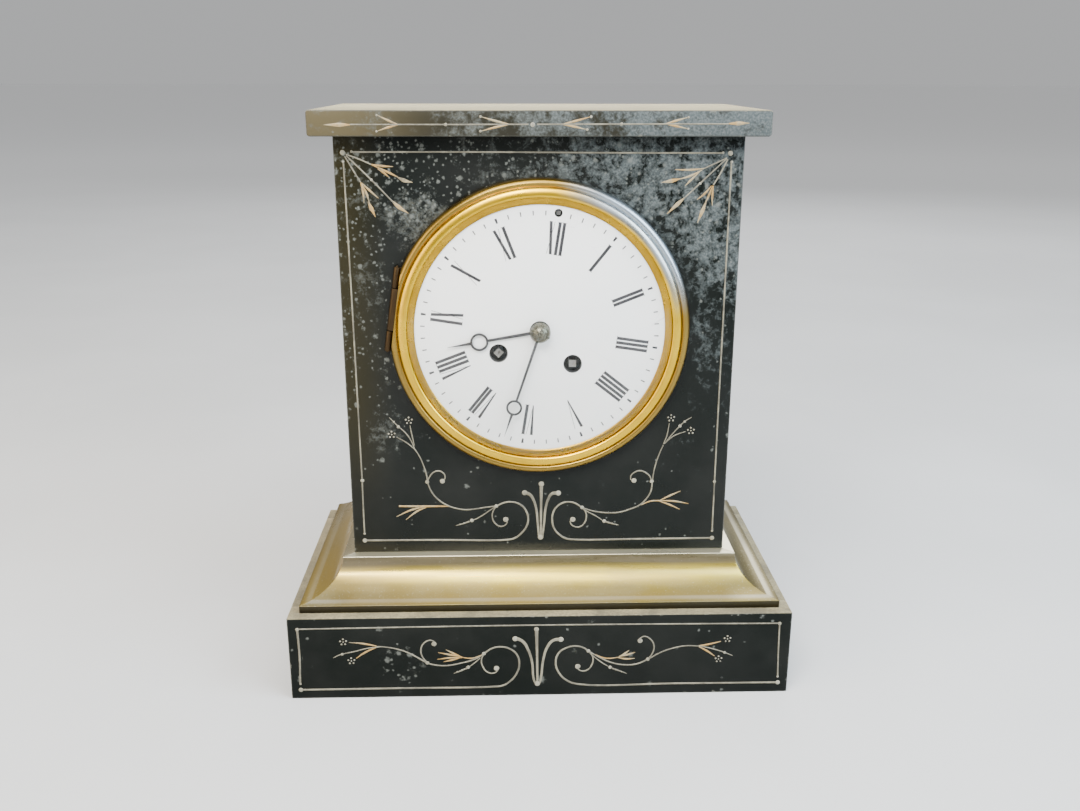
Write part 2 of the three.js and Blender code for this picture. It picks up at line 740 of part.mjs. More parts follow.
function addFrontPlate() {
  const shape = plateShape();
  addHole(shape, CENTRE_ARBOR_RADIUS + RUN + 0.2, SMALL_STEPS);
  for (const at of [goingBarrelAt, strikeBarrelAt]) addHole(shape, windingHole, SCREW_STEPS, at);
  for (const at of [intermediateAt, thirdAt, escapeAt, palletAt]) {
    addHole(shape, pivotHole, PIVOT_STEPS, at);
  }
  for (const at of [secondAt, pinWheelAt, lockingAt, flyAt, HAMMER_ARBOR]) {
    addHole(shape, pivotHole, PIVOT_STEPS, at);
  }
  const earRadius = REGULATOR_HOLE_RADIUS + 1.6;
  const earTop = [0, regulatorDistance];
  const ear = joined(
    block(-earRadius, earRadius, plateFront, plateInner, PLATE_RADIUS - 1.5, regulatorDistance),
    rod(earRadius, plateFront, plateInner, earTop),
  );
  const plate = joined(slab(shape, plateFront, plateInner), ear);
  const hole = rod(REGULATOR_RADIUS + RUN, plateFront - 1, plateInner + 1, earTop);
  const studFront = motionBack - 4.9;
  const minuteStud = rod(MINUTE_STUD_RADIUS, studFront, plateFront, minuteWheelAt, PIVOT_STEPS);
  const clickStuds = Object.values(clickAt).map((at) => (
    rod(CLICK_STUD_RADIUS, ratchetFront - RUN, plateFront, at, PIVOT_STEPS)
  ));
  const whole = joined(plate.subtract(hole), minuteStud, ...clickStuds);
  addPiece(movement, "front_plate", whole, brass);
}

const motionBack = plateFront - 0.7;
const ratchetFront = plateFront - 2.2;

function addBackPlate() {
  const shape = plateShape();
  for (const at of [goingBarrelAt, strikeBarrelAt]) {
    addHole(shape, BARREL_PIVOT_RADIUS + RUN, SCREW_STEPS, at);
  }
  for (const at of [centre, intermediateAt, thirdAt, escapeAt, palletAt]) {
    addHole(shape, pivotHole, PIVOT_STEPS, at);
  }
  addHole(shape, STOUT_ARBOR_RADIUS + RUN, PIVOT_STEPS, secondAt);
  for (const at of [pinWheelAt, lockingAt, flyAt]) addHole(shape, pivotHole, PIVOT_STEPS, at);
  addHole(shape, STOUT_ARBOR_RADIUS + RUN, PIVOT_STEPS, HAMMER_ARBOR);
  const pillars = pillarPlaces.map((at) => revolved([
    [0, plateInner],
    [PILLAR_RADIUS, plateInner],
    [PILLAR_RADIUS * 0.75, plateInner + 4],
    [PILLAR_RADIUS * 0.75, backPlateInner - 4],
    [PILLAR_RADIUS, backPlateInner],
    [0, backPlateInner + 1],
  ], PIVOT_STEPS, at));
  const plate = slab(shape, backPlateInner, backPlateOuter);
  addPiece(movement, "back_plate", joined(plate, ...pillars), brass);
}

// Barrels, winding arbors and clicks
function addBarrel(name, at) {
  const bore = WINDING_ARBOR_RADIUS + 0.4;
  const inside = BARREL_RADIUS - BARREL_WALL;
  const drum = revolved([
    [bore, barrelFront],
    [BARREL_RADIUS, barrelFront],
    [BARREL_RADIUS, barrelBack],
    [bore, barrelBack],
    [bore, barrelBack - BARREL_WALL],
    [inside, barrelBack - BARREL_WALL],
    [inside, barrelFront + BARREL_WALL],
    [bore, barrelFront + BARREL_WALL],
  ], DRUM_STEPS);
  const shape = outline(toothedPoints(GREAT_TEETH, GREAT_MODULE, 0));
  addHole(shape, BARREL_RADIUS - 2.5, SMALL_STEPS);
  const wheel = slab(shape, barrelBack - BARREL_WALL / 2, greatWheelBack);
  addPiece(movement, name, joined(drum, wheel), brass, at);
}

function ratchetPoints(hand) {
  const points = [];
  for (let i = 0; i < RATCHET_TEETH; i += 1) {
    const angle = (2 * Math.PI * i) / RATCHET_TEETH;
    const lean = (2 * Math.PI * 0.12) / RATCHET_TEETH;
    points.push(polar(RATCHET_RADIUS, angle));
    points.push(polar(RATCHET_RADIUS - RATCHET_TOOTH, angle + lean));
  }
  return points.map(([x, z]) => [hand * x, z]);
}

function addWindingArbor(name, at, hand, squareTurn) {
  const half = WINDING_SQUARE / 2;
  const squareFront = dialFront - 0.2;
  const square = turned(block(-half, half, squareFront, ratchetFront + 1, -half, half), squareTurn);
  const core = revolved([
    [0, ratchetFront],
    [WINDING_ARBOR_RADIUS, ratchetFront],
    [WINDING_ARBOR_RADIUS, barrelFront + BARREL_WALL + 1],
    [BARREL_CORE_RADIUS, barrelFront + BARREL_WALL + 1],
    [BARREL_CORE_RADIUS, barrelBack - BARREL_WALL - 1],
    [WINDING_ARBOR_RADIUS, barrelBack - BARREL_WALL - 1],
    [WINDING_ARBOR_RADIUS, backPlateInner - RUN],
    [BARREL_PIVOT_RADIUS, backPlateInner - RUN],
    [BARREL_PIVOT_RADIUS, backPlateOuter - RUN],
    [0, backPlateOuter - RUN],
  ], SCREW_STEPS);
  const points = ratchetPoints(hand);
  const wheel = slab(outline(points), ratchetFront, plateFront - 0.6);
  addPiece(movement, name, joined(square, core, wheel), steel, at);
}

// Click: a hub on its stud and a beak that ends just clear of the ratchet
function addClick(name, pivot, ratchet, hand) {
  const beakAngle = directionTo(ratchet, pivot) + hand * THREE.MathUtils.degToRad(48);
  const tip = offset(ratchet, RATCHET_RADIUS + 0.35, beakAngle);
  const local = [tip[0] - pivot[0], tip[1] - pivot[1]];
  const heading = Math.atan2(local[1], local[0]);
  const reach = Math.hypot(local[0], local[1]);
  const side = CLICK_HUB_RADIUS * 0.8;
  const beak = outline([
    polar(side, heading - hand * Math.PI / 2),
    polar(reach, heading),
    polar(side, heading + hand * Math.PI / 2),
  ].sort((a, b) => hand * (Math.atan2(a[1], a[0]) - Math.atan2(b[1], b[0]))));
  const body = joined(
    slab(beak, ratchetFront, ratchetFront + 1.2),
    rod(CLICK_HUB_RADIUS, ratchetFront, ratchetFront + 1.2, [0, 0], SMALL_STEPS),
  );
  const bore = rod(CLICK_STUD_RADIUS + RUN, ratchetFront - 1, plateFront, [0, 0], SMALL_STEPS);
  addPiece(movement, name, body.subtract(bore), steel, pivot);
}

// Going train
function addGoingTrain() {
  const intermediatePhase = meshedPhase(
    directionTo(goingBarrelAt, intermediateAt), GREAT_TEETH, INTERMEDIATE_LEAVES,
  );
  addPiece(movement, "intermediate_wheel", joined(
    arbor(STOUT_ARBOR_RADIUS),
    pinion(INTERMEDIATE_LEAVES, GREAT_MODULE, intermediatePhase, pinionFront, pinionBack),
    crossedWheel(INTERMEDIATE_TEETH, INTERMEDIATE_MODULE, intermediateWheelFront, WHEEL_THICKNESS),
    collet(STOUT_ARBOR_RADIUS * 2, intermediateWheelFront - 1, intermediateWheelFront),
  ), brass, intermediateAt);

  const centrePhase = meshedPhase(
    directionTo(intermediateAt, centre), INTERMEDIATE_TEETH, CENTRE_LEAVES,
  );
  const centreBody = revolved([
    [0, colletBack - 2.4],
    [CENTRE_ARBOR_RADIUS, colletBack - 2.4],
    [CENTRE_ARBOR_RADIUS, backPlateInner - RUN],
    [PIVOT_RADIUS, backPlateInner - RUN],
    [PIVOT_RADIUS, backPlateOuter - RUN],
    [0, backPlateOuter - RUN],
  ], PIVOT_STEPS);
  const centrePinionFront = intermediateWheelFront - 1;
  const centrePinionBack = centrePinionFront + 3.4;
  addPiece(movement, "centre_wheel", joined(
    centreBody,
    pinion(CENTRE_LEAVES, INTERMEDIATE_MODULE, centrePhase, centrePinionFront, centrePinionBack),
    crossedWheel(CENTRE_TEETH, CENTRE_MODULE, centreWheelFront, WHEEL_THICKNESS),
  ), brass);

  const thirdPhase = meshedPhase(directionTo(centre, thirdAt), CENTRE_TEETH, THIRD_LEAVES);
  addPiece(movement, "third_wheel", joined(
    arbor(FINE_ARBOR_RADIUS),
    pinion(THIRD_LEAVES, CENTRE_MODULE, thirdPhase, centreWheelFront - 0.5, centreWheelFront + 2),
    crossedWheel(THIRD_TEETH, THIRD_MODULE, thirdWheelFront, WHEEL_THICKNESS),
  ), brass, thirdAt);

  const escapePhase = meshedPhase(directionTo(thirdAt, escapeAt), THIRD_TEETH, ESCAPE_LEAVES);
  addPiece(movement, "escape_wheel", joined(
    arbor(FINE_ARBOR_RADIUS),
    pinion(ESCAPE_LEAVES, THIRD_MODULE, escapePhase, thirdWheelFront - 1, thirdWheelFront + 3),
    escapeWheel(),
  ), brass, escapeAt);
}

function escapeWheel() {
  const points = [];
  for (let i = 0; i < ESCAPE_TEETH; i += 1) {
    const angle = (2 * Math.PI * i) / ESCAPE_TEETH;
    const lean = ((2 * Math.PI) / ESCAPE_TEETH) * 0.3;
    points.push(polar(ESCAPE_RADIUS, angle));
    points.push(polar(ESCAPE_RADIUS - ESCAPE_TOOTH, angle + lean));
  }
  const shape = outline(points);
  const root = ESCAPE_RADIUS - ESCAPE_TOOTH;
  addCrossings(shape, root * 0.3, root - 1, 4, root * 0.16);
  return slab(shape, escapeWheelFront, escapeWheelFront + WHEEL_THICKNESS);
}

// Recoil pallets with the crutch, which hangs upright although the movement is turned
const crutchFront = backPlateOuter + 2.5;
const rodDepth = backPlateOuter + PENDULUM_SETBACK;

function addPallets() {
  const nib = ESCAPE_RADIUS + PALLET_CLEARANCE;
  const nibX = nib * Math.SQRT1_2;
  const nibZ = -PALLET_DISTANCE + nib * Math.SQRT1_2;
  const anchor = outline([
    [-nibX, nibZ],
    [-nibX * 0.72, nibZ * 0.66],
    [-nibX * 0.4, nibZ * 0.3],
    [0, nibZ * 0.2],
    [nibX * 0.4, nibZ * 0.3],
    [nibX * 0.72, nibZ * 0.66],
    [nibX, nibZ],
    [nibX * 1.25, nibZ * 0.9],
    [nibX * 1.1, nibZ * 0.4],
    [nibX * 0.6, nibZ * -0.1],
    [0, nibZ * -0.36],
    [-nibX * 0.6, nibZ * -0.1],
    [-nibX * 1.1, nibZ * 0.4],
    [-nibX * 1.25, nibZ * 0.9],
  ]);
  const thickness = WHEEL_THICKNESS + 1;
  const arms = slab(anchor, escapeWheelFront - 0.5, escapeWheelFront - 0.5 + thickness);
  const shaft = revolved([
    [0, plateFront + RUN],
    [PIVOT_RADIUS, plateFront + RUN],
    [PIVOT_RADIUS, plateInner + RUN],
    [FINE_ARBOR_RADIUS + 0.2, plateInner + RUN],
    [FINE_ARBOR_RADIUS + 0.2, backPlateInner - RUN],
    [PIVOT_RADIUS, backPlateInner - RUN],
    [PIVOT_RADIUS, cockFront + 1.2],
    [0, cockFront + 1.2],
  ], PIVOT_STEPS);
  const half = 0.8;
  const prongX = PENDULUM_ROD_RADIUS + RUN + 0.7;
  const foot = -CRUTCH_LENGTH;
  const crutch = joined(
    rod(1.8, crutchFront, crutchFront + 1.4, [0, 0], PIVOT_STEPS),
    block(-half, half, crutchFront, crutchFront + 1.2, foot, 0),
    block(-prongX - 0.5, prongX + 0.5, crutchFront, crutchFront + 1.2, foot - 0.6, foot + 0.6),
    block(-prongX - 0.5, -prongX + 0.5, crutchFront, rodDepth + 1.8, foot - 0.6, foot + 0.6),
    block(prongX - 0.5, prongX + 0.5, crutchFront, rodDepth + 1.8, foot - 0.6, foot + 0.6),
  );
  const whole = joined(arms, shaft, turned(crutch, -MOVEMENT_TURN));
  addPiece(movement, "pallets_and_crutch", whole, steel, palletAt);
}

// Back cock: a bridge over the pallet arbor, with the suspension pin and the regulator's bearing
const cockFront = backPlateOuter + COCK_SETBACK;
const cockBack = cockFront + 2;

function addBackCock() {
  const span = 9.5;
  const footHalf = 1.8;
  const low = palletAt[1] - 3.4;
  const high = palletAt[1] + 1.4;
  const pinEnd = rodDepth + 3.2;
  let cock = joined(
    block(-span - footHalf, span + footHalf, cockFront, cockBack, low, high),
    block(-span - footHalf, -span + footHalf, backPlateOuter, cockBack, low, low + 2 * footHalf),
    block(span - footHalf, span + footHalf, backPlateOuter, cockBack, low, low + 2 * footHalf),
    block(-2.6, 2.6, cockFront, cockBack, low, regulatorDistance),
    rod(2.6, cockFront, cockBack, [0, regulatorDistance]),
    rod(SUSPENSION_PIN_RADIUS, cockFront, pinEnd, palletAt),
    rod(SUSPENSION_PIN_RADIUS + 0.9, pinEnd - 0.8, pinEnd, palletAt),
  );
  const pivot = rod(PIVOT_RADIUS + RUN, cockFront - 1, cockFront + 1.5, palletAt, PIVOT_STEPS);
  cock = cock.subtract(pivot);
  const bearing = rod(REGULATOR_RADIUS + RUN, cockFront - 1, cockBack + 1, [0, regulatorDistance]);
  addPiece(movement, "back_cock", cock.subtract(bearing), brass);
}

function addRegulator() {
  const half = 0.8;
  const squareFront = dialFront + 0.6;
  const squareBack = panBack + 1.6;
  const square = block(-half, half, squareFront, squareBack, -half, half);
  const shank = rod(REGULATOR_RADIUS, squareBack - 0.5, cockBack + 0.6, [0, 0], PIVOT_STEPS);
  const disc = rod(2.4, cockBack + RUN, cockBack + 1.5, [0, 0], SMALL_STEPS);
  addPiece(movement, "regulating_arbor", joined(square, shank, disc), steel, [0, regulatorDistance]);
}

function addPendulum() {
  const tip = PENDULUM_LENGTH + BOB_RADIUS;
  const thread = PENDULUM_ROD_RADIUS * 5.5;
  const eye = outline(circlePoints(PENDULUM_EYE_RADIUS, SMALL_STEPS));
  addHole(eye, SUSPENSION_PIN_RADIUS + RUN, SMALL_STEPS);
  const rodTop = -(SUSPENSION_PIN_RADIUS + RUN + 0.6);
  const rodBody = joined(
    slab(eye, rodDepth - 1, rodDepth + 1),
    uprightRod(PENDULUM_ROD_RADIUS, 0, rodDepth, -tip - thread, rodTop),
    uprightRod(2.6, 0, rodDepth, -tip - RUN - 2.4, -tip - RUN, SMALL_STEPS),
  );
  addPiece(movement, "pendulum_rod", turned(rodBody, -MOVEMENT_TURN), steel, palletAt);
  const half = BOB_THICKNESS / 2;
  const lens = revolved([
    [0, rodDepth - half],
    [BOB_RADIUS * 0.55, rodDepth - half * 0.85],
    [BOB_RADIUS * 0.88, rodDepth - half * 0.45],
    [BOB_RADIUS, rodDepth - half * 0.15],
    [BOB_RADIUS, rodDepth + half * 0.15],
    [BOB_RADIUS * 0.88, rodDepth + half * 0.45],
    [BOB_RADIUS * 0.55, rodDepth + half * 0.85],
    [0, rodDepth + half],
  ], DRUM_STEPS, [0, -PENDULUM_LENGTH]);
  const top = -PENDULUM_LENGTH + BOB_RADIUS + 1;
  const bore = uprightRod(PENDULUM_ROD_RADIUS + RUN, 0, rodDepth, -tip - 1, top, SMALL_STEPS);
  addPiece(movement, "pendulum_bob", turned(lens.subtract(bore), -MOVEMENT_TURN), brass, palletAt);
}

// Strike train
function addStrikeTrain() {
  const secondPhase = meshedPhase(
    directionTo(strikeBarrelAt, secondAt), GREAT_TEETH, SECOND_LEAVES,
  );
  const secondBody = revolved([
    [0, plateFront + RUN],
    [PIVOT_RADIUS, plateFront + RUN],
    [PIVOT_RADIUS, plateInner + RUN],
    [STOUT_ARBOR_RADIUS, plateInner + RUN],
    [STOUT_ARBOR_RADIUS, backPlateOuter + 4],
    [0, backPlateOuter + 4],
  ], PIVOT_STEPS);
  addPiece(movement, "strike_second_wheel", joined(
    secondBody,
    pinion(SECOND_LEAVES, GREAT_MODULE, secondPhase, pinionFront, pinionBack),
    crossedWheel(SECOND_TEETH, STRIKE_MODULE, intermediateWheelFront, WHEEL_THICKNESS),
  ), brass, secondAt);

  const pinPhase = meshedPhase(directionTo(secondAt, pinWheelAt), SECOND_TEETH, PIN_LEAVES);
  const pinLeavesFront = intermediateWheelFront - 0.5;
  let pinWheel = joined(
    arbor(FINE_ARBOR_RADIUS),
    pinion(PIN_LEAVES, STRIKE_MODULE, pinPhase, pinLeavesFront, pinLeavesFront + 2.5),
    crossedWheel(PIN_TEETH, STRIKE_MODULE, pinWheelFront, WHEEL_THICKNESS),
  );
  for (let i = 0; i < LIFTING_PINS; i += 1) {
    const at = polar(LIFTING_CIRCLE, (2 * Math.PI * i) / LIFTING_PINS);
    const back = pinWheelFront + WHEEL_THICKNESS;
    pinWheel = pinWheel.add(rod(LIFTING_PIN_RADIUS, back - 0.5, back + LIFTING_PIN_LENGTH, at, 6));
  }
  addPiece(movement, "pin_wheel", pinWheel, brass, pinWheelAt);

  const lockingPhase = meshedPhase(directionTo(pinWheelAt, lockingAt), PIN_TEETH, LOCKING_LEAVES);
  addPiece(movement, "locking_wheel", joined(
    arbor(FINE_ARBOR_RADIUS),
    pinion(LOCKING_LEAVES, STRIKE_MODULE, lockingPhase, pinWheelFront - 0.8, pinWheelFront + 2),
    crossedWheel(LOCKING_TEETH, STRIKE_MODULE, lockingWheelFront, WHEEL_THICKNESS),
  ), brass, lockingAt);

  const flyPhase = meshedPhase(directionTo(lockingAt, flyAt), LOCKING_TEETH, FLY_LEAVES);
  const vaneFront = plateInner + 3;
  const vaneBack = vaneFront + plateSpacing * FLY_SHARE;
  addPiece(movement, "fly", joined(
    arbor(FINE_ARBOR_RADIUS),
    pinion(FLY_LEAVES, STRIKE_MODULE, flyPhase, lockingWheelFront - 1, lockingWheelFront + 2.5),
    block(-FLY_RADIUS, FLY_RADIUS, vaneFront, vaneBack, -0.3, 0.3),
  ), brass, flyAt);
}

// Count wheel: one notch for each hour and its half hour, in ninety blows
function addCountWheel() {
  const blows = 90;
  const notchBlows = 1.6;
  const notchDepth = 1.8;
  const points = [];
  let blow = 0;
  for (let hour = 1; hour <= 12; hour += 1) {
    const rimEnd = blow + hour + 1 - notchBlows;
    const rimSteps = Math.max(1, Math.round((rimEnd - blow) / 3));
    for (let k = 0; k <= rimSteps; k += 1) {
      const angle = (2 * Math.PI * (blow + ((rimEnd - blow) * k) / rimSteps)) / blows;
      points.push(polar(COUNT_WHEEL_RADIUS, angle));
    }
    blow += hour + 1;
    points.push(polar(COUNT_WHEEL_RADIUS - notchDepth, (2 * Math.PI * rimEnd) / blows));
    points.push(polar(COUNT_WHEEL_RADIUS - notchDepth, (2 * Math.PI * blow) / blows));
  }
  const shape = outline(points);
  addHole(shape, STOUT_ARBOR_RADIUS + RUN, PIVOT_STEPS);
  const front = backPlateOuter + 1.1;
  addPiece(movement, "count_wheel", slab(shape, front, front + WHEEL_THICKNESS), brass, secondAt);
}

// Hammer: tail beside the lifting pins, stem behind the back plate and head beside the bell
function addHammer() {
  const head = offset(BELL_CENTRE, BELL_RADIUS + HAMMER_GAP + HAMMER_RADIUS, HAMMER_DIRECTION);
  const headAt = [head[0] - HAMMER_ARBOR[0], head[1] - HAMMER_ARBOR[1]];
  const shaft = revolved([
    [0, plateFront + RUN],
    [PIVOT_RADIUS, plateFront + RUN],
    [PIVOT_RADIUS, plateInner + RUN],
    [STOUT_ARBOR_RADIUS, plateInner + RUN],
    [STOUT_ARBOR_RADIUS, backPlateOuter + 5.2],
    [0, backPlateOuter + 5.2],
  ], PIVOT_STEPS);
  const pinSpan = Math.hypot(pinWheelAt[0] - HAMMER_ARBOR[0], pinWheelAt[1] - HAMMER_ARBOR[1]);
  const tailReach = pinSpan - LIFTING_CIRCLE - LIFTING_PIN_RADIUS - 0.5;
  const tailTurn = -directionTo(HAMMER_ARBOR, pinWheelAt);
  const tailFront = pinWheelFront + WHEEL_THICKNESS + 0.6;
  const tail = turned(block(0, tailReach, tailFront, tailFront + 1.2, -0.8, 0.8), tailTurn);
  const stemTurn = -Math.atan2(headAt[1], headAt[0]);
  const stemReach = Math.hypot(headAt[0], headAt[1]);
  const stemFront = backPlateOuter + 3.4;
  const stem = turned(block(-1.6, stemReach, stemFront, stemFront + 1.4, -1, 1), stemTurn);
  const bellMouth = backPlateOuter + BELL_GAP;
  const post = rod(1.2, stemFront, bellMouth + 1, headAt, PIVOT_STEPS);
  const headSolid = rod(HAMMER_RADIUS, bellMouth + 0.5, bellMouth + 6, headAt, SMALL_STEPS);
  addPiece(movement, "hammer", joined(shaft, tail, stem, post, headSolid), steel, HAMMER_ARBOR);
}

function addBell() {
  const mouth = backPlateOuter + BELL_GAP;
  const bellHeight = bodyBack - mouth - BELL_CLEARANCE;
  const neck = BELL_POST_RADIUS * 0.8;
  const bore = neck + RUN;
  const rise = [
    [1, 0], [0.97, 0.3], [0.86, 0.64], [0.64, 0.87], [0.32, 0.98],
  ];
  const outer = rise.map(([r, h]) => [BELL_RADIUS * r, mouth + bellHeight * h]);
  const innerRadius = BELL_RADIUS - BELL_WALL;
  const innerHeight = bellHeight - BELL_WALL;
  const inner = rise.map(([r, h]) => [innerRadius * r, mouth + innerHeight * h]).reverse();
  const crown = mouth + bellHeight;
  const profile = [...outer, [bore, crown], [bore, crown - BELL_WALL], ...inner];
  addPiece(movement, "bell", revolved(profile, DRUM_STEPS), bellMetal, BELL_CENTRE);
  const shoulder = crown - BELL_WALL - RUN;
  const stand = revolved([
    [0, backPlateOuter],
    [4.4, backPlateOuter],
    [4.4, backPlateOuter + 1.4],
    [BELL_POST_RADIUS, backPlateOuter + 2.4],
    [BELL_POST_RADIUS, shoulder - 1.2],
    [BELL_POST_RADIUS * 1.8, shoulder - 1.2],
    [BELL_POST_RADIUS * 1.8, shoulder],
    [neck, shoulder],
    [neck, crown + RUN],
    [BELL_POST_RADIUS * 1.9, crown + RUN],
    [BELL_POST_RADIUS * 1.9, crown + 2.4],
    [0, crown + 2.9],
  ], SCREW_STEPS);
  addPiece(movement, "bell_stand", stand, steel, BELL_CENTRE);
}

// Dial, pan and motion work
function dialHoles(solid, y0, y1) {
  let cut = solid;
  for (const at of [goingBarrelAt, strikeBarrelAt]) {
    cut = cut.subtract(rod(WINDING_HOLE_RADIUS, y0, y1, at, SMALL_STEPS));
  }
  cut = cut.subtract(rod(REGULATOR_HOLE_RADIUS, y0, y1, [0, regulatorDistance], SMALL_STEPS));
  return cut.subtract(rod(CENTRE_HOLE_RADIUS, y0, y1, centre, SMALL_STEPS));
}

function addDial() {
  const disc = revolved([
    [0, dialFront - DIAL_DOME],
    [dialRadius * 0.5, dialFront - DIAL_DOME * 0.75],
    [dialRadius * 0.85, dialFront - DIAL_DOME * 0.28],
    [dialRadius, dialFront],
    [dialRadius, dialBack],
    [0, dialBack],
  ], RING_STEPS);
  addPiece(movement, "enamel_dial", dialHoles(disc, dialFront - 3, dialBack + 1), enamel);
  let pan = rod(dialRadius, dialBack, panBack, centre, RING_STEPS);
  for (const angle of [60, 180, 300]) {
    const at = polar(DIAL_FOOT_CIRCLE, THREE.MathUtils.degToRad(angle));
    pan = pan.add(rod(DIAL_FOOT_RADIUS, panBack - 0.4, plateFront, at, PIVOT_STEPS));
  }
  addPiece(movement, "dial_pan", dialHoles(pan, dialBack - 1, panBack + 1), brass);
}

function addMotionWork() {
  const pipeBore = CENTRE_ARBOR_RADIUS + RUN;
  const hourWheelFront = plateFront - 4.5;
  const cannonPhase = meshedPhase(
    directionTo(minuteWheelAt, centre), MINUTE_WHEEL_TEETH, CANNON_LEAVES,
  );
  const cannon = joined(
    rod(CANNON_PIPE_RADIUS, minuteHandBack - HAND_THICKNESS + 0.1, motionBack),
    pinion(CANNON_LEAVES, MOTION_MODULE, cannonPhase, motionBack - 2, motionBack),
  ).subtract(rod(pipeBore, colletBack - 1, plateFront));
  addPiece(movement, "cannon_pinion", cannon, steel);

  const minutePhase = meshedPhase(
    directionTo(centre, minuteWheelAt), HOUR_WHEEL_TEETH, MINUTE_LEAVES,
  );
  const wheelFront = motionBack - 1.6;
  const minuteWheel = joined(
    solidWheel(MINUTE_WHEEL_TEETH, wheelFront, WHEEL_THICKNESS),
    pinion(MINUTE_LEAVES, MOTION_MODULE, minutePhase, hourWheelFront - 0.4, wheelFront + 0.5),
  ).subtract(rod(MINUTE_STUD_RADIUS + RUN, hourWheelFront - 1, plateFront, centre, PIVOT_STEPS));
  addPiece(movement, "minute_wheel", minuteWheel, brass, minuteWheelAt);

  const hourWheel = joined(
    solidWheel(HOUR_WHEEL_TEETH, hourWheelFront, 1),
    rod(HOUR_PIPE_RADIUS, hourHandBack - HAND_THICKNESS + 0.1, hourWheelFront + 1),
  ).subtract(rod(CANNON_PIPE_RADIUS + RUN, colletFront, plateFront));
  addPiece(movement, "hour_wheel", hourWheel, brass);
}

// Open-moon hands, drawn towards twelve and then turned to their hour
function moonHand(length, moonPlace, moonRadius, bossRadius, bore, y0) {
  const y1 = y0 + HAND_THICKNESS;
  const moonDistance = length * moonPlace;
  const half = HAND_WIDTH / 2;
  const stalk = outline([
    [-half, 0],
    [half, 0],
    [half * 0.8, moonDistance - moonRadius + MOON_RIM / 2],
    [-half * 0.8, moonDistance - moonRadius + MOON_RIM / 2],
  ]);
  const moon = outline(circlePoints(moonRadius, SMALL_STEPS, [0, moonDistance]));
  addHole(moon, moonRadius - MOON_RIM, SMALL_STEPS, [0, moonDistance]);
  const tip = outline([
    [-half, moonDistance + moonRadius - MOON_RIM / 2],
    [half, moonDistance + moonRadius - MOON_RIM / 2],
    [0.25, length],
    [-0.25, length],
  ]);
  const hand = joined(
    slab(stalk, y0, y1), slab(moon, y0, y1), slab(tip, y0, y1), rod(bossRadius, y0, y1),
  );
  return hand.subtract(rod(bore, y0 - 1, y1 + 1));
}

function addHands() {
  const hourHand = moonHand(
    hourHandLength, HOUR_MOON_PLACE, HOUR_MOON_RADIUS,
    HOUR_PIPE_RADIUS + 0.9, HOUR_PIPE_RADIUS + 0.15, hourHandBack - HAND_THICKNESS,
  );
  addPiece(movement, "hour_hand", turned(hourHand, HOUR_HAND_ANGLE), darkSteel);
  const minuteHand = moonHand(
    minuteHandLength, MINUTE_MOON_PLACE, MINUTE_MOON_RADIUS,
    COLLET_RADIUS - 0.4, CANNON_PIPE_RADIUS + 0.15, minuteHandBack - HAND_THICKNESS,
  );
  addPiece(movement, "minute_hand", turned(minuteHand, MINUTE_HAND_ANGLE), darkSteel);
  const dome = revolved([
    [0, colletBack],
    [COLLET_RADIUS, colletBack],
    [COLLET_RADIUS, colletBack - COLLET_HEIGHT * 0.25],
    [COLLET_RADIUS * 0.88, colletBack - COLLET_HEIGHT * 0.6],
    [COLLET_RADIUS * 0.57, colletBack - COLLET_HEIGHT * 0.9],
    [0, colletFront],
  ], SMALL_STEPS);
  const bore = rod(CENTRE_ARBOR_RADIUS + RUN, colletBack - 2.8, colletBack + 1);
  addPiece(movement, "hand_collet", dome.subtract(bore), steel);
}

// Straps from the front ring, drawn back by long screws through the back ring
const backRingBack = bodyBack + BACK_RING_FLANGE;
const strapEnd = backPlateOuter + STRAP_SETBACK;

function addStrap(suffix, angle) {
  const half = STRAP_WIDTH / 2;
  const inner = strapRadius - STRAP_THICKNESS;
  const tabInner = strapScrewCircle - 3;
  const tabFront = strapEnd - STRAP_THICKNESS;
  const bar = joined(
    block(inner, strapRadius, panBack + RING_LEDGE, strapEnd, -half, half),
    block(tabInner, strapRadius, tabFront, strapEnd, -half, half),
  );
  const hole = rod(STRAP_SCREW_RADIUS + RUN, tabFront - 1, strapEnd + 1, [strapScrewCircle, 0]);
  addPiece(movement, `strap_${suffix}`, turned(bar.subtract(hole), -angle), brass);
  const screw = revolved([
    [0, tabFront - 4],
    [STRAP_SCREW_RADIUS, tabFront - 4],
    [STRAP_SCREW_RADIUS, backRingBack],
    [STRAP_SCREW_RADIUS + 1.1, backRingBack],
    [STRAP_SCREW_RADIUS + 1.1, backRingBack + 1.3],
    [0, backRingBack + 1.3],
  ], SCREW_STEPS);
  addPiece(movement, `strap_screw_${suffix}`, screw, steel, polar(strapScrewCircle, angle));
}

const doorHingeX = -(doorRadius + DOOR_HINGE_RADIUS + RUN);
const doorHingeY = backRingBack + DOOR_HINGE_RADIUS + RUN;
const doorHingeBore = DOOR_PIN_RADIUS + RUN;
const doorKnuckle = 4;
const doorHingeHalf = 9;

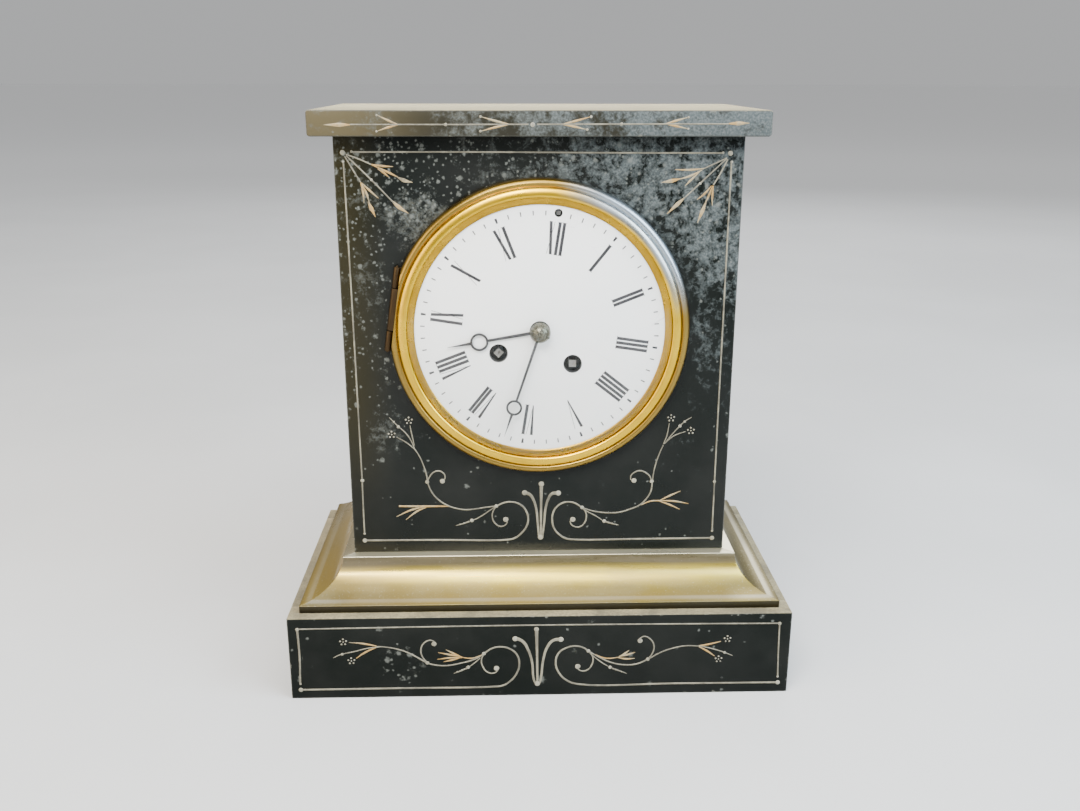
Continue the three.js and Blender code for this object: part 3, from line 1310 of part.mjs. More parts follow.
function addBackRing() {
  const outerTube = backHoleRadius - 2 * RUN;
  const tubeFront = bodyBack - BACK_RING_TUBE;
  let ring = revolved([
    [backRingOpening, bodyBack],
    [outerTube - RING_WALL, bodyBack],
    [outerTube - RING_WALL, tubeFront],
    [outerTube, tubeFront],
    [outerTube, bodyBack],
    [backRingRadius, bodyBack],
    [backRingRadius, backRingBack],
    [backRingOpening, backRingBack],
  ], RING_STEPS);
  for (const side of [-1, 1]) {
    const near = side * (doorKnuckle + RUN);
    const far = side * doorHingeHalf;
    const low = Math.min(near, far);
    const high = Math.max(near, far);
    const web = block(
      doorHingeX - DOOR_HINGE_RADIUS * 0.7, doorHingeX + DOOR_HINGE_RADIUS * 0.7,
      backRingBack - 0.4, doorHingeY, low, high,
    );
    const barrel = uprightRod(
      DOOR_HINGE_RADIUS, doorHingeX, doorHingeY, low, high, SMALL_STEPS,
    );
    ring = joined(ring, web, barrel);
  }
  const reach = doorHingeHalf + 1;
  const bore = uprightRod(doorHingeBore, doorHingeX, doorHingeY, -reach, reach, SMALL_STEPS);
  ring = ring.subtract(bore);
  for (const angle of [STRAP_ANGLE, STRAP_ANGLE + Math.PI]) {
    const at = polar(strapScrewCircle, angle);
    ring = ring.subtract(rod(STRAP_SCREW_RADIUS + RUN, bodyBack - 1, backRingBack + 1, at));
  }
  addPiece(movement, "back_ring", ring, brass);
}

function addBackDoor() {
  const front = backRingBack + RUN;
  const back = front + DOOR_THICKNESS;
  const rim = doorRadius - 3;
  let door = revolved([
    [0, front + DOOR_DOME],
    [rim * 0.8, front + DOOR_DOME * 0.8],
    [rim, front],
    [doorRadius, front],
    [doorRadius, back],
    [rim, back],
    [rim * 0.8, back + DOOR_DOME * 0.8],
    [0, back + DOOR_DOME],
  ], RING_STEPS);
  const leaf = block(doorHingeX, -doorRadius + 1.5, front + 0.2, back, -doorKnuckle, doorKnuckle);
  const barrel = uprightRod(
    DOOR_HINGE_RADIUS, doorHingeX, doorHingeY, -doorKnuckle, doorKnuckle, SMALL_STEPS,
  );
  door = joined(door, leaf, barrel);
  const reach = doorKnuckle + 1;
  const bore = uprightRod(doorHingeBore, doorHingeX, doorHingeY, -reach, reach, SMALL_STEPS);
  addPiece(movement, "back_door", door.subtract(bore), brass);
  const pinHalf = doorHingeHalf + 0.5;
  const pin = uprightRod(DOOR_PIN_RADIUS, doorHingeX, doorHingeY, -pinHalf, pinHalf);
  addPiece(movement, "back_door_hinge_pin", pin, steel);
  const knob = revolved([
    [0, back],
    [1.2, back],
    [1.2, back + 0.8],
    [2.4, back + 1.3],
    [2.4, back + 2.2],
    [0, back + 2.7],
  ], SMALL_STEPS);
  addPiece(movement, "back_door_knob", knob, brass, [doorRadius - 1.5, 0]);
}

addBase();
addCove();
addBody();
addCornice();
addFrontRing();
addBezel();
addGlassAndSightRing();
addDial();
addMotionWork();
addHands();
addFrontPlate();
addBackPlate();
addBarrel("going_barrel", goingBarrelAt);
addBarrel("strike_barrel", strikeBarrelAt);
addWindingArbor("going_winding_arbor", goingBarrelAt, 1, -MOVEMENT_TURN);
addWindingArbor("strike_winding_arbor", strikeBarrelAt, -1, -MOVEMENT_TURN + Math.PI / 4);
addClick("going_click", clickAt.going, goingBarrelAt, 1);
addClick("strike_click", clickAt.strike, strikeBarrelAt, -1);
addGoingTrain();
addPallets();
addBackCock();
addRegulator();
addPendulum();
addStrikeTrain();
addCountWheel();
addHammer();
addBell();
addStrap("upper", STRAP_ANGLE);
addStrap("lower", STRAP_ANGLE + Math.PI);
addBackRing();
addBackDoor();

export default clock;
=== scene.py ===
import json
import math

import bpy
from mathutils import Matrix, Vector


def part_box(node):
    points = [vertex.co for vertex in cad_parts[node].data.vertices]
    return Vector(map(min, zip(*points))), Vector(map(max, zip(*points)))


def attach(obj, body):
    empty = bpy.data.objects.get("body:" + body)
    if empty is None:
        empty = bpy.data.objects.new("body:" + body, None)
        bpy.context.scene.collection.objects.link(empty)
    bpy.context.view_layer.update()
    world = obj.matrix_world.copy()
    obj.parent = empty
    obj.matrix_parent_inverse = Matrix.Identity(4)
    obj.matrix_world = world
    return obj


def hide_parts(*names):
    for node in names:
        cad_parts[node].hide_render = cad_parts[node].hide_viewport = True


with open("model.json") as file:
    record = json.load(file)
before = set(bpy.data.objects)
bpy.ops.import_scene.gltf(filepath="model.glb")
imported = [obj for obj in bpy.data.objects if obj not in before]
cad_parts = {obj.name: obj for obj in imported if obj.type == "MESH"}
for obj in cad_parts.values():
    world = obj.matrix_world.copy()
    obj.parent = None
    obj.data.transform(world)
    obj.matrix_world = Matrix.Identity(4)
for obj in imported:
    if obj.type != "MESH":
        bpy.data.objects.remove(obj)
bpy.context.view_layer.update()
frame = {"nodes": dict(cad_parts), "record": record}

MM = 0.001

# The clock's case, in millimetres
BODY_FACE = -32.5
BASE_FACE = -58.0
CORNICE_FACE = -39.5
DIAL_CENTRE = 153.0
GILDING_PROUD = 0.14

# The round movement sits a little turned in its case
MOVEMENT = Matrix.Translation((0, 0, DIAL_CENTRE * MM)) @ Matrix.Rotation(math.radians(8.7), 4, "Y")


# Shop floor helpers

def clear_selection():
    if bpy.context.object and bpy.context.object.mode != "OBJECT":
        bpy.ops.object.mode_set(mode="OBJECT")
    bpy.ops.object.select_all(action="DESELECT")


def pick(piece):
    clear_selection()
    piece.select_set(True)
    bpy.context.view_layer.objects.active = piece


def edit_all(piece):
    pick(piece)
    bpy.ops.object.mode_set(mode="EDIT")
    bpy.ops.mesh.select_all(action="SELECT")


def leave_edit():
    bpy.ops.object.mode_set(mode="OBJECT")


def settle(piece):
    """Puts the piece's own place into its mesh, so that it sits unturned at the origin."""
    piece.data.transform(piece.matrix_basis)
    piece.matrix_basis = Matrix.Identity(4)
    piece.data.update()


def join(name, pieces):
    clear_selection()
    for piece in pieces:
        piece.select_set(True)
    bpy.context.view_layer.objects.active = pieces[0]
    if len(pieces) > 1:
        bpy.ops.object.join()
    whole = bpy.context.view_layer.objects.active
    whole.name = name
    whole.data.name = name
    return whole


def smooth(piece, angle=30):
    pick(piece)
    bpy.ops.object.shade_smooth_by_angle(angle=math.radians(angle))


def work(piece, kind, **choices):
    """Adds one modifier with the given settings and applies it."""
    modifier = piece.modifiers.new(kind.lower(), kind)
    for name, value in choices.items():
        setattr(modifier, name, value)
    pick(piece)
    bpy.ops.object.modifier_apply(modifier=modifier.name)


def ease_edges(piece, width, segments=2, angle=30):
    """Breaks every sharp edge of the piece by the given width in millimetres."""
    work(
        piece, "BEVEL", width=width * MM, segments=segments, limit_method="ANGLE",
        angle_limit=math.radians(angle), harden_normals=False,
    )


def drill(piece, cutter):
    """Cuts the cutter out of the piece and puts the cutter away."""
    work(piece, "BOOLEAN", operation="DIFFERENCE", solver="EXACT", object=cutter)
    bpy.data.objects.remove(cutter)


def block(name, low, high, ease=0.2):
    """A sawn and eased block between two corners given in millimetres."""
    clear_selection()
    low, high = Vector(low), Vector(high)
    bpy.ops.mesh.primitive_cube_add(size=1, location=(low + high) / 2 * MM)
    piece = bpy.context.object
    piece.name = name
    piece.scale = (high - low) * MM
    settle(piece)
    if ease:
        ease_edges(piece, ease)
    return piece


def rod(name, start, end, radius, sides=32, ease=0.0):
    """A round rod from start to end, in millimetres."""
    clear_selection()
    start, end = Vector(start) * MM, Vector(end) * MM
    along = end - start
    bpy.ops.mesh.primitive_cylinder_add(
        vertices=sides, radius=radius * MM, depth=along.length, location=(start + end) / 2,
        rotation=along.to_track_quat("Z", "Y").to_euler(),
    )
    piece = bpy.context.object
    piece.name = name
    settle(piece)
    if ease:
        ease_edges(piece, ease, angle=50)
    return piece


def turn(name, profile, steps=128, ease=0.0):
    """Turns a closed profile of (radius, depth) points, in millimetres, about the clock's depth axis."""
    clear_selection()
    bpy.ops.mesh.primitive_circle_add(vertices=len(profile), radius=MM)
    piece = bpy.context.object
    piece.name = name
    for vertex, (radius, depth) in zip(piece.data.vertices, profile):
        vertex.co = (radius * MM, depth * MM, 0)
    edit_all(piece)
    bpy.ops.mesh.spin(steps=steps, angle=2 * math.pi, center=(0, 0, 0), axis=(0, 1, 0))
    bpy.ops.mesh.select_all(action="SELECT")
    bpy.ops.mesh.remove_doubles(threshold=1e-6)
    bpy.ops.mesh.delete_loose()
    bpy.ops.mesh.select_all(action="SELECT")
    bpy.ops.mesh.normals_make_consistent(inside=False)
    leave_edit()
    if ease:
        ease_edges(piece, ease, angle=20)
    settle(piece)
    return piece


def merged_copy(node_name):
    """A copy of a CAD node with its loose triangles welded and its flat faces made whole."""
    clear_selection()
    source = frame["nodes"][node_name]
    piece = bpy.data.objects.new("dressed_" + node_name, source.data.copy())
    bpy.context.scene.collection.objects.link(piece)
    piece.data.materials.clear()
    edit_all(piece)
    bpy.ops.mesh.remove_doubles(threshold=1e-6)
    bpy.ops.mesh.dissolve_limited(angle_limit=math.radians(0.5))
    leave_edit()
    return piece


def fit(piece, body, finish, *nodes, slot=None, soft=None, with_movement=False):
    """Finishes a piece, hangs it on its body and lets it stand for the nodes it replaces.

    Edges below the angle soft are shaded smooth. A piece drawn straight is turned with the movement.
    """
    if with_movement:
        piece.data.transform(MOVEMENT)
    if soft:
        smooth(piece, soft)
    piece.data.materials.clear()
    piece.data.materials.append(finish)
    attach(piece, body)
    if nodes:
        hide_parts(*nodes)
    return piece


# How finishes are mixed

class Flow:
    """A value on its way through a finish's nodes. Reckoning with it adds math nodes."""

    def __init__(self, tree, socket):
        self.tree = tree
        self.socket = socket

    def __add__(self, other):
        return reckon("ADD", self, other)

    def __sub__(self, other):
        return reckon("SUBTRACT", self, other)

    def __rsub__(self, other):
        return reckon("SUBTRACT", other, self)

    def __mul__(self, other):
        return reckon("MULTIPLY", self, other)

    def __truediv__(self, other):
        return reckon("DIVIDE", self, other)

    def __abs__(self):
        return reckon("ABSOLUTE", self)


def feed(socket, value):
    if isinstance(value, Flow):
        value.tree.links.new(value.socket, socket)
    else:
        socket.default_value = value


def step(kind, values, output=0, tree=None, **choices):
    """Adds one node beside the values it takes, and hands back one of its outputs."""
    tree = tree or next(value.tree for value in values.values() if isinstance(value, Flow))
    made = tree.nodes.new(kind)
    for name, value in choices.items():
        setattr(made, name, value)
    for key, value in values.items():
        feed(made.inputs[key], value)
    return Flow(tree, made.outputs[output])


def reckon(operation, first, second=0.0):
    return step("ShaderNodeMath", {0: first, 1: second}, operation=operation)


def greatest(first, *others):
    for other in others:
        first = reckon("MAXIMUM", first, other)
    return first


def smallest(first, second):
    return reckon("MINIMUM", first, second)


def parts(vector):
    split = vector.tree.nodes.new("ShaderNodeSeparateXYZ")
    feed(split.inputs[0], vector)
    return [Flow(vector.tree, output) for output in split.outputs]


def axes(place):
    """Across, depth and height on the clock, in millimetres."""
    return [part * (1 / MM) for part in parts(place)]


def joined(x, y, z):
    return step("ShaderNodeCombineXYZ", {0: x, 1: y, 2: z})


def length(vector):
    return step("ShaderNodeVectorMath", {0: vector}, 1, operation="LENGTH")


def cloud(place, size, detail=4.0, roughness=0.55, distortion=0.0):
    """Soft noise whose features are about the given size in millimetres."""
    return step("ShaderNodeTexNoise", {
        "Vector": place, "Scale": 1 / (size * MM), "Detail": detail, "Roughness": roughness,
        "Distortion": distortion,
    })


def stretched(place, scale):
    return step("ShaderNodeMapping", {"Vector": place, "Scale": scale})


def band(value, low, high, start=0.0, end=1.0):
    """A smooth change from start to end as the value goes from low to high."""
    limits = {"From Min": low, "From Max": high, "To Min": start, "To Max": end}
    return step("ShaderNodeMapRange", {"Value": value, **limits}, interpolation_type="SMOOTHSTEP")


def blend(share, first, second):
    """Colours first and second mixed by share."""
    if not isinstance(first, Flow):
        first = (*first, 1)
    if not isinstance(second, Flow):
        second = (*second, 1)
    return step("ShaderNodeMix", {0: share, 6: first, 7: second}, 2, data_type="RGBA")


def relief(height, strength, depth):
    return step("ShaderNodeBump", {"Height": height, "Strength": strength, "Distance": depth * MM})


SOCKETS = {
    "colour": "Base Color", "roughness": "Roughness", "metallic": "Metallic", "normal": "Normal",
    "alpha": "Alpha", "shine": "Specular IOR Level", "lacquer": "Coat Weight",
    "lacquer_roughness": "Coat Roughness", "sheen": "Sheen Weight", "sheen_roughness": "Sheen Roughness",
    "sheen_tint": "Sheen Tint",
}


def coat(finish, **values):
    shader = finish.node_tree.nodes["Principled BSDF"]
    for key, value in values.items():
        feed(shader.inputs[SOCKETS[key]], value)
    return finish


def new_finish(name, colour, roughness, metallic=0.0):
    """A new material with its plain values, and the place on the clock that its nodes start from."""
    finish = bpy.data.materials.new(name)
    finish.use_nodes = True
    coat(finish, colour=(*colour, 1), roughness=roughness, metallic=metallic)
    return finish, step("ShaderNodeTexCoord", {}, "Object", finish.node_tree)


# Slate, whose bloom is the grey veil that damp and handling leave

DEEP_SLATE = (0.0030, 0.0042, 0.0034)
WORN_SLATE = (0.0078, 0.0086, 0.0076)
BARE_SLATE = (0.022, 0.022, 0.019)
OLIVE_BLOOM = (0.058, 0.057, 0.044)
GREY_BLOOM = (0.046, 0.056, 0.057)
PALE_BLOOM = (0.088, 0.098, 0.096)
FAINT_BLOOM = 0.05
PALE_SPOT = (0.14, 0.148, 0.133)
RUBBED_ARRIS = (0.055, 0.055, 0.045)
CHIPPED_ARRIS = (0.125, 0.125, 0.105)
CHIP_DEPTH = 1.3
# Cell size of each layer of spots in millimetres, and how much of a cell its spots fill
SPOT_SIZES = ((4.4, 0.10), (2.6, 0.12), (1.7, 0.13))


def edge_distance(place, low, high):
    """Distance from the nearest arris of a slab, on its faces, in millimetres."""
    gaps = []
    for value, start, end in zip(axes(place), low / MM, high / MM):
        gaps.append(smallest(value - start, end - value))
    nearer = smallest(gaps[0], gaps[1])
    farther = greatest(gaps[0], gaps[1])
    return greatest(nearer, smallest(farther, gaps[2]))


def even_bloom(x, y, z):
    return band(x, 0.0, 1.0, FAINT_BLOOM, FAINT_BLOOM)


def slate_finish(
    name, low, high, bloom=even_bloom, spots=None, painted_reflection=None, chips=1.0, gloss=0.24, shine=0.13,
    spot_sizes=SPOT_SIZES, spot_edge=0.2,
):
    """Black polished slate with bloom, pale spots and chipped arrises."""
    finish, place = new_finish(name, (0.004, 0.0045, 0.004), gloss)
    x, y, z = axes(place)
    colour = blend(band(cloud(place, 45, 5, 0.6), 0.35, 0.7), DEEP_SLATE, WORN_SLATE)
    # Painted warm reflections, where a slab is given them
    if painted_reflection:
        colour = painted_reflection(x, y, z, colour)
    patch = cloud(place, 9, 5, 0.62, 0.3)
    mottle = cloud(place, 3.2, 7, 0.64, 0.4)
    fine = cloud(place, 0.9, 4, 0.6)
    amount = bloom(x, y, z)
    spread = mottle * 0.52 + patch * 0.36 + fine * 0.12
    veil = band(spread - (0.655 - amount * 0.245), -0.05, 0.13)
    strength = veil * band(amount, 0.0, 0.9, 0.3, 1.0)
    tone = blend(band(x, -50, 30), OLIVE_BLOOM, GREY_BLOOM)
    tone = blend(band(fine, 0.38, 0.68), tone, PALE_BLOOM)
    colour = blend(strength, colour, tone)
    share = spots(x, y, z) if spots else 0.012
    for size, least in spot_sizes:
        near = {"Vector": place, "Scale": 1 / (size * MM)}
        reach = step("ShaderNodeTexVoronoi", near, "Distance", feature="F1") + (fine - 0.5) * 0.7
        chance = step("ShaderNodeTexVoronoi", near, "Color", feature="F1")
        picked = reckon("GREATER_THAN", parts(chance)[0] + share, 1.0)
        spot = band(reach, least, least + spot_edge, 1.0, 0.0) * picked
        colour = blend(spot * 0.5, colour, PALE_SPOT)
    arris = edge_distance(place, low, high)
    ragged = band(cloud(place, 5, 4, 0.7), 0.52, 0.78) * (CHIP_DEPTH * chips)
    wear = band(arris - ragged, -0.2, 0.2, 1.0, 0.0)
    colour = blend(band(arris, 0.2, 0.7, 0.4, 0.0), colour, RUBBED_ARRIS)
    colour = blend(wear * 0.7, colour, CHIPPED_ARRIS)
    rough = strength * 0.3 + gloss + wear * 0.3
    height = fine * 0.3 + veil * 0.2 - wear * 0.9
    return coat(finish, colour=colour, roughness=rough, normal=relief(height, 0.3, 0.1), shine=shine)


def dusty_slate_finish(name, pale, deep, least):
    """Slate under settled dust, thin and worn away in patches; the dust is brightest seen edge on."""
    finish, place = new_finish(name, deep, 0.7)
    drift = cloud(place, 26, 6, 0.62, 0.5)
    rubbed_and_reflected = cloud(stretched(place, (0.3, 1.0, 1.0)), 5, 5, 0.6)
    fine = cloud(place, 0.9, 4, 0.6)
    dust = blend(band(fine, 0.3, 0.7), deep, pale)
    share = band(drift, 0.32, 0.62, least, 1.0) * band(rubbed_and_reflected, 0.55, 0.72, 1.0, 0.5)
    coat(finish, colour=blend(share, BARE_SLATE, dust), roughness=band(rubbed_and_reflected, 0.5, 0.75, 0.75, 0.5))
    coat(finish, sheen=0.65, sheen_roughness=0.4, sheen_tint=(1.0, 0.85, 0.52, 1))
    return coat(finish, normal=relief(fine, 0.3, 0.1))


def near_point(x, z, across, height, inner, outer, most):
    """How strongly a soft round patch shows, strongest within its inner radius."""
    return band(length(joined(x - across, 0.0, z - height)), inner, outer, most, 0.0)


def body_bloom(x, y, z):
    """Heavy bloom over the top right, lighter down the sides, clean below the dial."""
    top = band(z, 186, 206) * band(x, -45, 30, 0.32, 0.76)
    corner = band(x + z - DIAL_CENTRE, 64, 96, 0.0, 0.78)
    right = band(x, 52, 64) * band(z, 90, 155, 0.0, 0.56)
    left = band(x, -66, -52, 1.0, 0.0) * band(z, 100, 150, 0.0, 0.42)
    by_fan = near_point(x, z, -47, 198, 5, 24, 0.74)
    low_left = near_point(x, z, -62, 112, 4, 19, 0.58)
    low_right = near_point(x, z, 63, 100, 4, 14, 0.38)
    return greatest(top, corner, right, left, by_fan, low_left, low_right, FAINT_BLOOM)


def side_bloom(x, y, z):
    """The front's bloom carried round the corner, fading towards the back."""
    return body_bloom(x, y, z) * band(y, -30, 20, 1.0, 0.5)


def body_spots(x, y, z):
    """Pale spots about the top left and down the left side."""
    corner = band(x, -45, -5, 1.0, 0.35) * band(z, 176, 196)
    side = band(x, -66, -54, 1.0, 0.0) * band(z, 100, 150)
    return greatest(corner, side * 0.6) * 0.46 + 0.025


def body_painted_reflection(x, y, z, colour):
    """A painted warm reflection, olive, down the left edge, fading towards the foot and the back."""
    share = band(x, -79, -58, 0.85, 0.0) * band(z, 70, 130, 0.15, 1.0) * band(y, -30, 10, 1.0, 0.25)
    return blend(share, colour, (0.0155, 0.013, 0.0045))


def base_bloom(x, y, z):
    return greatest(near_point(x, z, -52, 17, 3, 12, 0.4), 0.06)


def base_spots(x, y, z):
    """A patch of large soft spots left of the middle, and a few at the left end."""
    return greatest(near_point(x, z, -59, 16.5, 6, 12, 0.42), band(x, -104, -90, 0.1, 0.015))


def cornice_bloom(x, y, z):
    """Mottled all along, closing to an even grey at the right end."""
    return band(x, -70, 0, 0.44, 0.74) + band(x, 20, 82, 0.0, 0.46)


def cornice_painted_reflection(x, y, z, colour):
    """A painted warm sheen, olive brown, at the left end."""
    return blend(band(x, -82, -30, 0.95, 0.15), colour, (0.068, 0.056, 0.030))


def sawn_slate_finish(name):
    """Rough unpolished slate, as the backs and insides are left."""
    finish, place = new_finish(name, (0.05, 0.052, 0.05), 0.75)
    wide = cloud(place, 30, 6, 0.65)
    saw = cloud(stretched(place, (0.05, 1.0, 1.0)), 1.6, 4, 0.65)
    fine = cloud(place, 0.8, 4, 0.65)
    colour = blend(band(wide, 0.3, 0.7), (0.034, 0.036, 0.034), (0.062, 0.064, 0.060))
    colour = blend(band(saw, 0.45, 0.75, 0.0, 0.6), colour, (0.115, 0.115, 0.105))
    colour = blend(band(fine, 0.6, 0.78, 0.0, 0.4), colour, (0.16, 0.16, 0.145))
    coat(finish, colour=colour, roughness=band(saw, 0.3, 0.7, 0.62, 0.85))
    return coat(finish, normal=relief(saw + fine * 0.4, 0.6, 0.25))


# The cove moulding; heights on the clock in millimetres

COVE_LIP = 41.2
COVE_LEDGE = 55.05
FILLET_TOP = 40.95
COVE_DUST = (0.37, 0.315, 0.165)
LIP_DUST_AND_HIGHLIGHT = (0.55, 0.50, 0.36)
LEDGE_DUST_AND_HIGHLIGHT = (0.76, 0.70, 0.50)
DUST_SPECK = (0.62, 0.57, 0.42)


def cove_finish(name, plain, browned, dark, dust, lines=1.0):
    """The cove's handled and dusty satin, brown towards its left end, with painted shade under the body and
    in the fillet, and pale lines of dust and painted highlight on its lip and ledge.
    """
    finish, place = new_finish(name, plain, 0.3, 0.86)
    x, y, z = axes(place)
    wipe = cloud(stretched(place, (0.07, 0.07, 1.0)), 2.2, 4, 0.5)
    patch = cloud(place, 22, 5, 0.55)
    fine = cloud(place, 0.8, 3, 0.6)
    colour = blend(band(x, -90, -10), browned, plain)
    colour = blend(band(wipe, 0.35, 0.66, 0.0, 0.65), colour, browned)
    colour = blend(band(patch, 0.42, 0.72, 0.0, 0.4), colour, browned)
    ragged = z + (wipe - 0.5) * 2.2
    # Painted shade darkens the top of the cove under the body
    colour = blend(band(ragged, 49.2, 52.4, 0.0, 0.86), colour, dark)
    settled = band(ragged, 41.5, 47.5, dust, 0.1 * dust) * band(patch, 0.35, 0.6, 0.55, 1.0)
    colour = blend(settled, colour, COVE_DUST)
    colour = blend(band(fine, 0.3, 0.5, 0.5, 0.0) * settled, colour, browned)
    # Pale lines along the lip and the ledge: dust, with painted highlights on the arrises
    colour = blend(band(abs(z - COVE_LIP), 0.12, 0.3, 0.8 * lines, 0.0), colour, LIP_DUST_AND_HIGHLIGHT)
    colour = blend(band(z, COVE_LEDGE, COVE_LEDGE + 0.15, 0.0, 0.9 * lines), colour, LEDGE_DUST_AND_HIGHLIGHT)
    corner = band(x, -100, -88, 0.8 * lines, 0.0) * band(z, 43, 49, 1.0, 0.3)
    dusty = band(z, 41, 47, 0.6 * lines, 0.12) + corner
    colour = blend(band(fine, 0.60, 0.70) * dusty, colour, DUST_SPECK)
    # The fillet is painted near black as shade
    fillet = band(z, FILLET_TOP - 0.4, FILLET_TOP, 1.0, 0.0)
    colour = blend(fillet * 0.95, colour, (0.012, 0.011, 0.008))
    rough = band(wipe, 0.32, 0.68, 0.24, 0.36) + settled * 0.25
    return coat(finish, colour=colour, roughness=rough, normal=relief(fine * 0.5 + wipe, 0.14, 0.06))


# Metals, enamel, glass, gilding and ink

TARNISH = (0.16, 0.10, 0.045)
# Tarnish on the bezel's outer rim, darkened further as a painted reflection of dark surroundings
RIM_TARNISH_AND_REFLECTION = (0.17, 0.112, 0.034)
# Painted shade along the bezel's groove
GROOVE_SHADE = (0.09, 0.055, 0.022)
# Painted reflection of the window lamp on the bezel's upper right
PAINTED_RIM_REFLECTION = (0.36, 0.44, 0.52)
# Painted shade deep inside the winding holes
DEPTH_SHADE = (0.012, 0.011, 0.010)


def brass_finish(name, pale, deep, gloss, tarnish=0.3, turned=True, rim=None):
    """Brass with a little tarnish and, where turned, lathe lines about the dial's centre.

    From the radius rim outwards it is browned with tarnish and a painted dark reflection, behind a groove
    painted dark as shade, and at the upper right it carries a painted pale reflection.
    """
    finish, place = new_finish(name, pale, gloss, 1.0)
    patch = cloud(place, 18, 5, 0.6)
    fine = cloud(place, 1.3, 4, 0.6)
    colour = blend(band(patch, 0.3, 0.72), pale, deep)
    colour = blend(band(fine, 0.66, 0.78) * tarnish, colour, TARNISH)
    rough = band(patch, 0.3, 0.75, gloss, gloss + 0.12)
    height = fine
    if turned:
        x, y, z = axes(place)
        reach = length(joined(x, 0.0, z - DIAL_CENTRE))
        height = cloud(joined(reach * MM, y * MM, 0.0), 0.35, 2, 0.5) + fine * 0.3
        if rim:
            # The outer rim browned: tarnish together with a painted dark reflection
            colour = blend(band(reach, rim - 0.1, rim + 0.3) * 0.85, colour, RIM_TARNISH_AND_REFLECTION)
            # A dark line painted in the groove as shade
            colour = blend(band(abs(reach - (rim - 0.15)), 0.1, 0.32, 0.85, 0.0), colour, GROOVE_SHADE)
            # A pale, cool patch at the upper right is a painted reflection of the window lamp
            upper_right = (x + (z - DIAL_CENTRE)) / reach
            rubbed_and_reflected = band(upper_right, 1.08, 1.36, 0.0, 0.75) * band(reach, 53.6, 55.2)
            colour = blend(rubbed_and_reflected, colour, PAINTED_RIM_REFLECTION)
    return coat(finish, colour=colour, roughness=rough, normal=relief(height, 0.12, 0.05))


def steel_finish(name, pale, deep, gloss, shaded_from=None):
    """Grey steel with fine lines; from a given depth inwards it is painted dark as shade."""
    finish, place = new_finish(name, pale, gloss, 1.0)
    patch = cloud(place, 6, 5, 0.6)
    fine = cloud(stretched(place, (1.0, 1.0, 0.3)), 0.5, 3, 0.6)
    colour = blend(band(patch, 0.35, 0.7), pale, deep)
    colour = blend(band(fine, 0.62, 0.8, 0.0, 0.35), colour, (0.10, 0.075, 0.055))
    if shaded_from is not None:
        # Painted shade from the given depth inwards
        colour = blend(band(axes(place)[1], shaded_from - 0.3, shaded_from), colour, DEPTH_SHADE)
    rough = band(fine, 0.3, 0.7, gloss, gloss + 0.15)
    return coat(finish, colour=colour, roughness=rough, normal=relief(fine, 0.1, 0.03))


def enamel_finish():
    """White vitreous enamel, faintly cream, with a soft unevenness and fine hairlines."""
    finish, place = new_finish("white enamel", (0.92, 0.92, 0.90), 0.12)
    patch = cloud(place, 26, 3, 0.5)
    colour = blend(band(patch, 0.3, 0.7), (0.90, 0.915, 0.905), (0.94, 0.935, 0.915))
    crack = step("ShaderNodeTexVoronoi", {"Vector": place, "Scale": 55.0}, feature="DISTANCE_TO_EDGE")
    hair = band(crack, 0.0, 0.004, 1.0, 0.0) * band(patch, 0.55, 0.7, 0.0, 0.35)
    coat(finish, colour=blend(hair, colour, (0.45, 0.44, 0.40)))
    return coat(finish, roughness=band(patch, 0.3, 0.7, 0.08, 0.16), normal=relief(patch, 0.05, 0.2))


def glass_finish():
    """Thin clear glass: mirror-like only where the eye meets it aslant."""
    finish, place = new_finish("clear glass", (0.93, 0.96, 0.95), 0.03, 1.0)
    aslant = step("ShaderNodeLayerWeight", {"Blend": 0.28}, 0, finish.node_tree)
    smear = cloud(place, 30, 4, 0.6)
    return coat(finish, alpha=aslant * 0.5 + 0.002, roughness=band(smear, 0.35, 0.7, 0.02, 0.06))


def gilding_finish(name, pale, deep, dirt):
    """Rubbed gold paint in the incised lines, worn to cream and brown in places."""
    finish, place = new_finish(name, pale, 0.5)
    patch = cloud(place, 7, 5, 0.62)
    fine = cloud(place, 0.8, 4, 0.65)
    rubbed_and_reflected = cloud(place, 11, 5, 0.7)
    colour = blend(band(patch, 0.38, 0.62), pale, deep)
    colour = blend(band(fine, 0.52, 0.72, 0.0, 0.65), colour, dirt)
    colour = blend(band(rubbed_and_reflected, 0.52, 0.66, 0.0, 0.6), colour, (0.028, 0.027, 0.021))
    coat(finish, colour=colour, roughness=band(fine, 0.3, 0.7, 0.38, 0.6))
    return coat(finish, normal=relief(fine, 0.4, 0.08))


def ink_finish(name, colour):
    """Dark fired ink, a little worn; made near black, the same finish is the painted shade on the hole walls.
    """
    finish, place = new_finish(name, colour, 0.35)
    fine = cloud(place, 0.6, 3, 0.6)
    faded = tuple(tone * 1.7 + 0.02 for tone in colour)
    worn = blend(band(fine, 0.45, 0.75, 0.0, 0.5), colour, faded)
    return coat(finish, colour=worn, roughness=band(fine, 0.3, 0.7, 0.28, 0.42))


# Radius where the bezel's outer moulding, browned with tarnish and a painted dark reflection, starts, and
# depth from which the squares are painted dark as shade
OUTER_RIM_FROM = 57.4
SHADED_FROM = -34.0

bezel_brass = brass_finish(
    "turned bezel brass", (0.69, 0.44, 0.013), (0.53, 0.32, 0.008), 0.24, 0.25, rim=OUTER_RIM_FROM,
)
coat(bezel_brass, lacquer=0.1, lacquer_roughness=0.12)
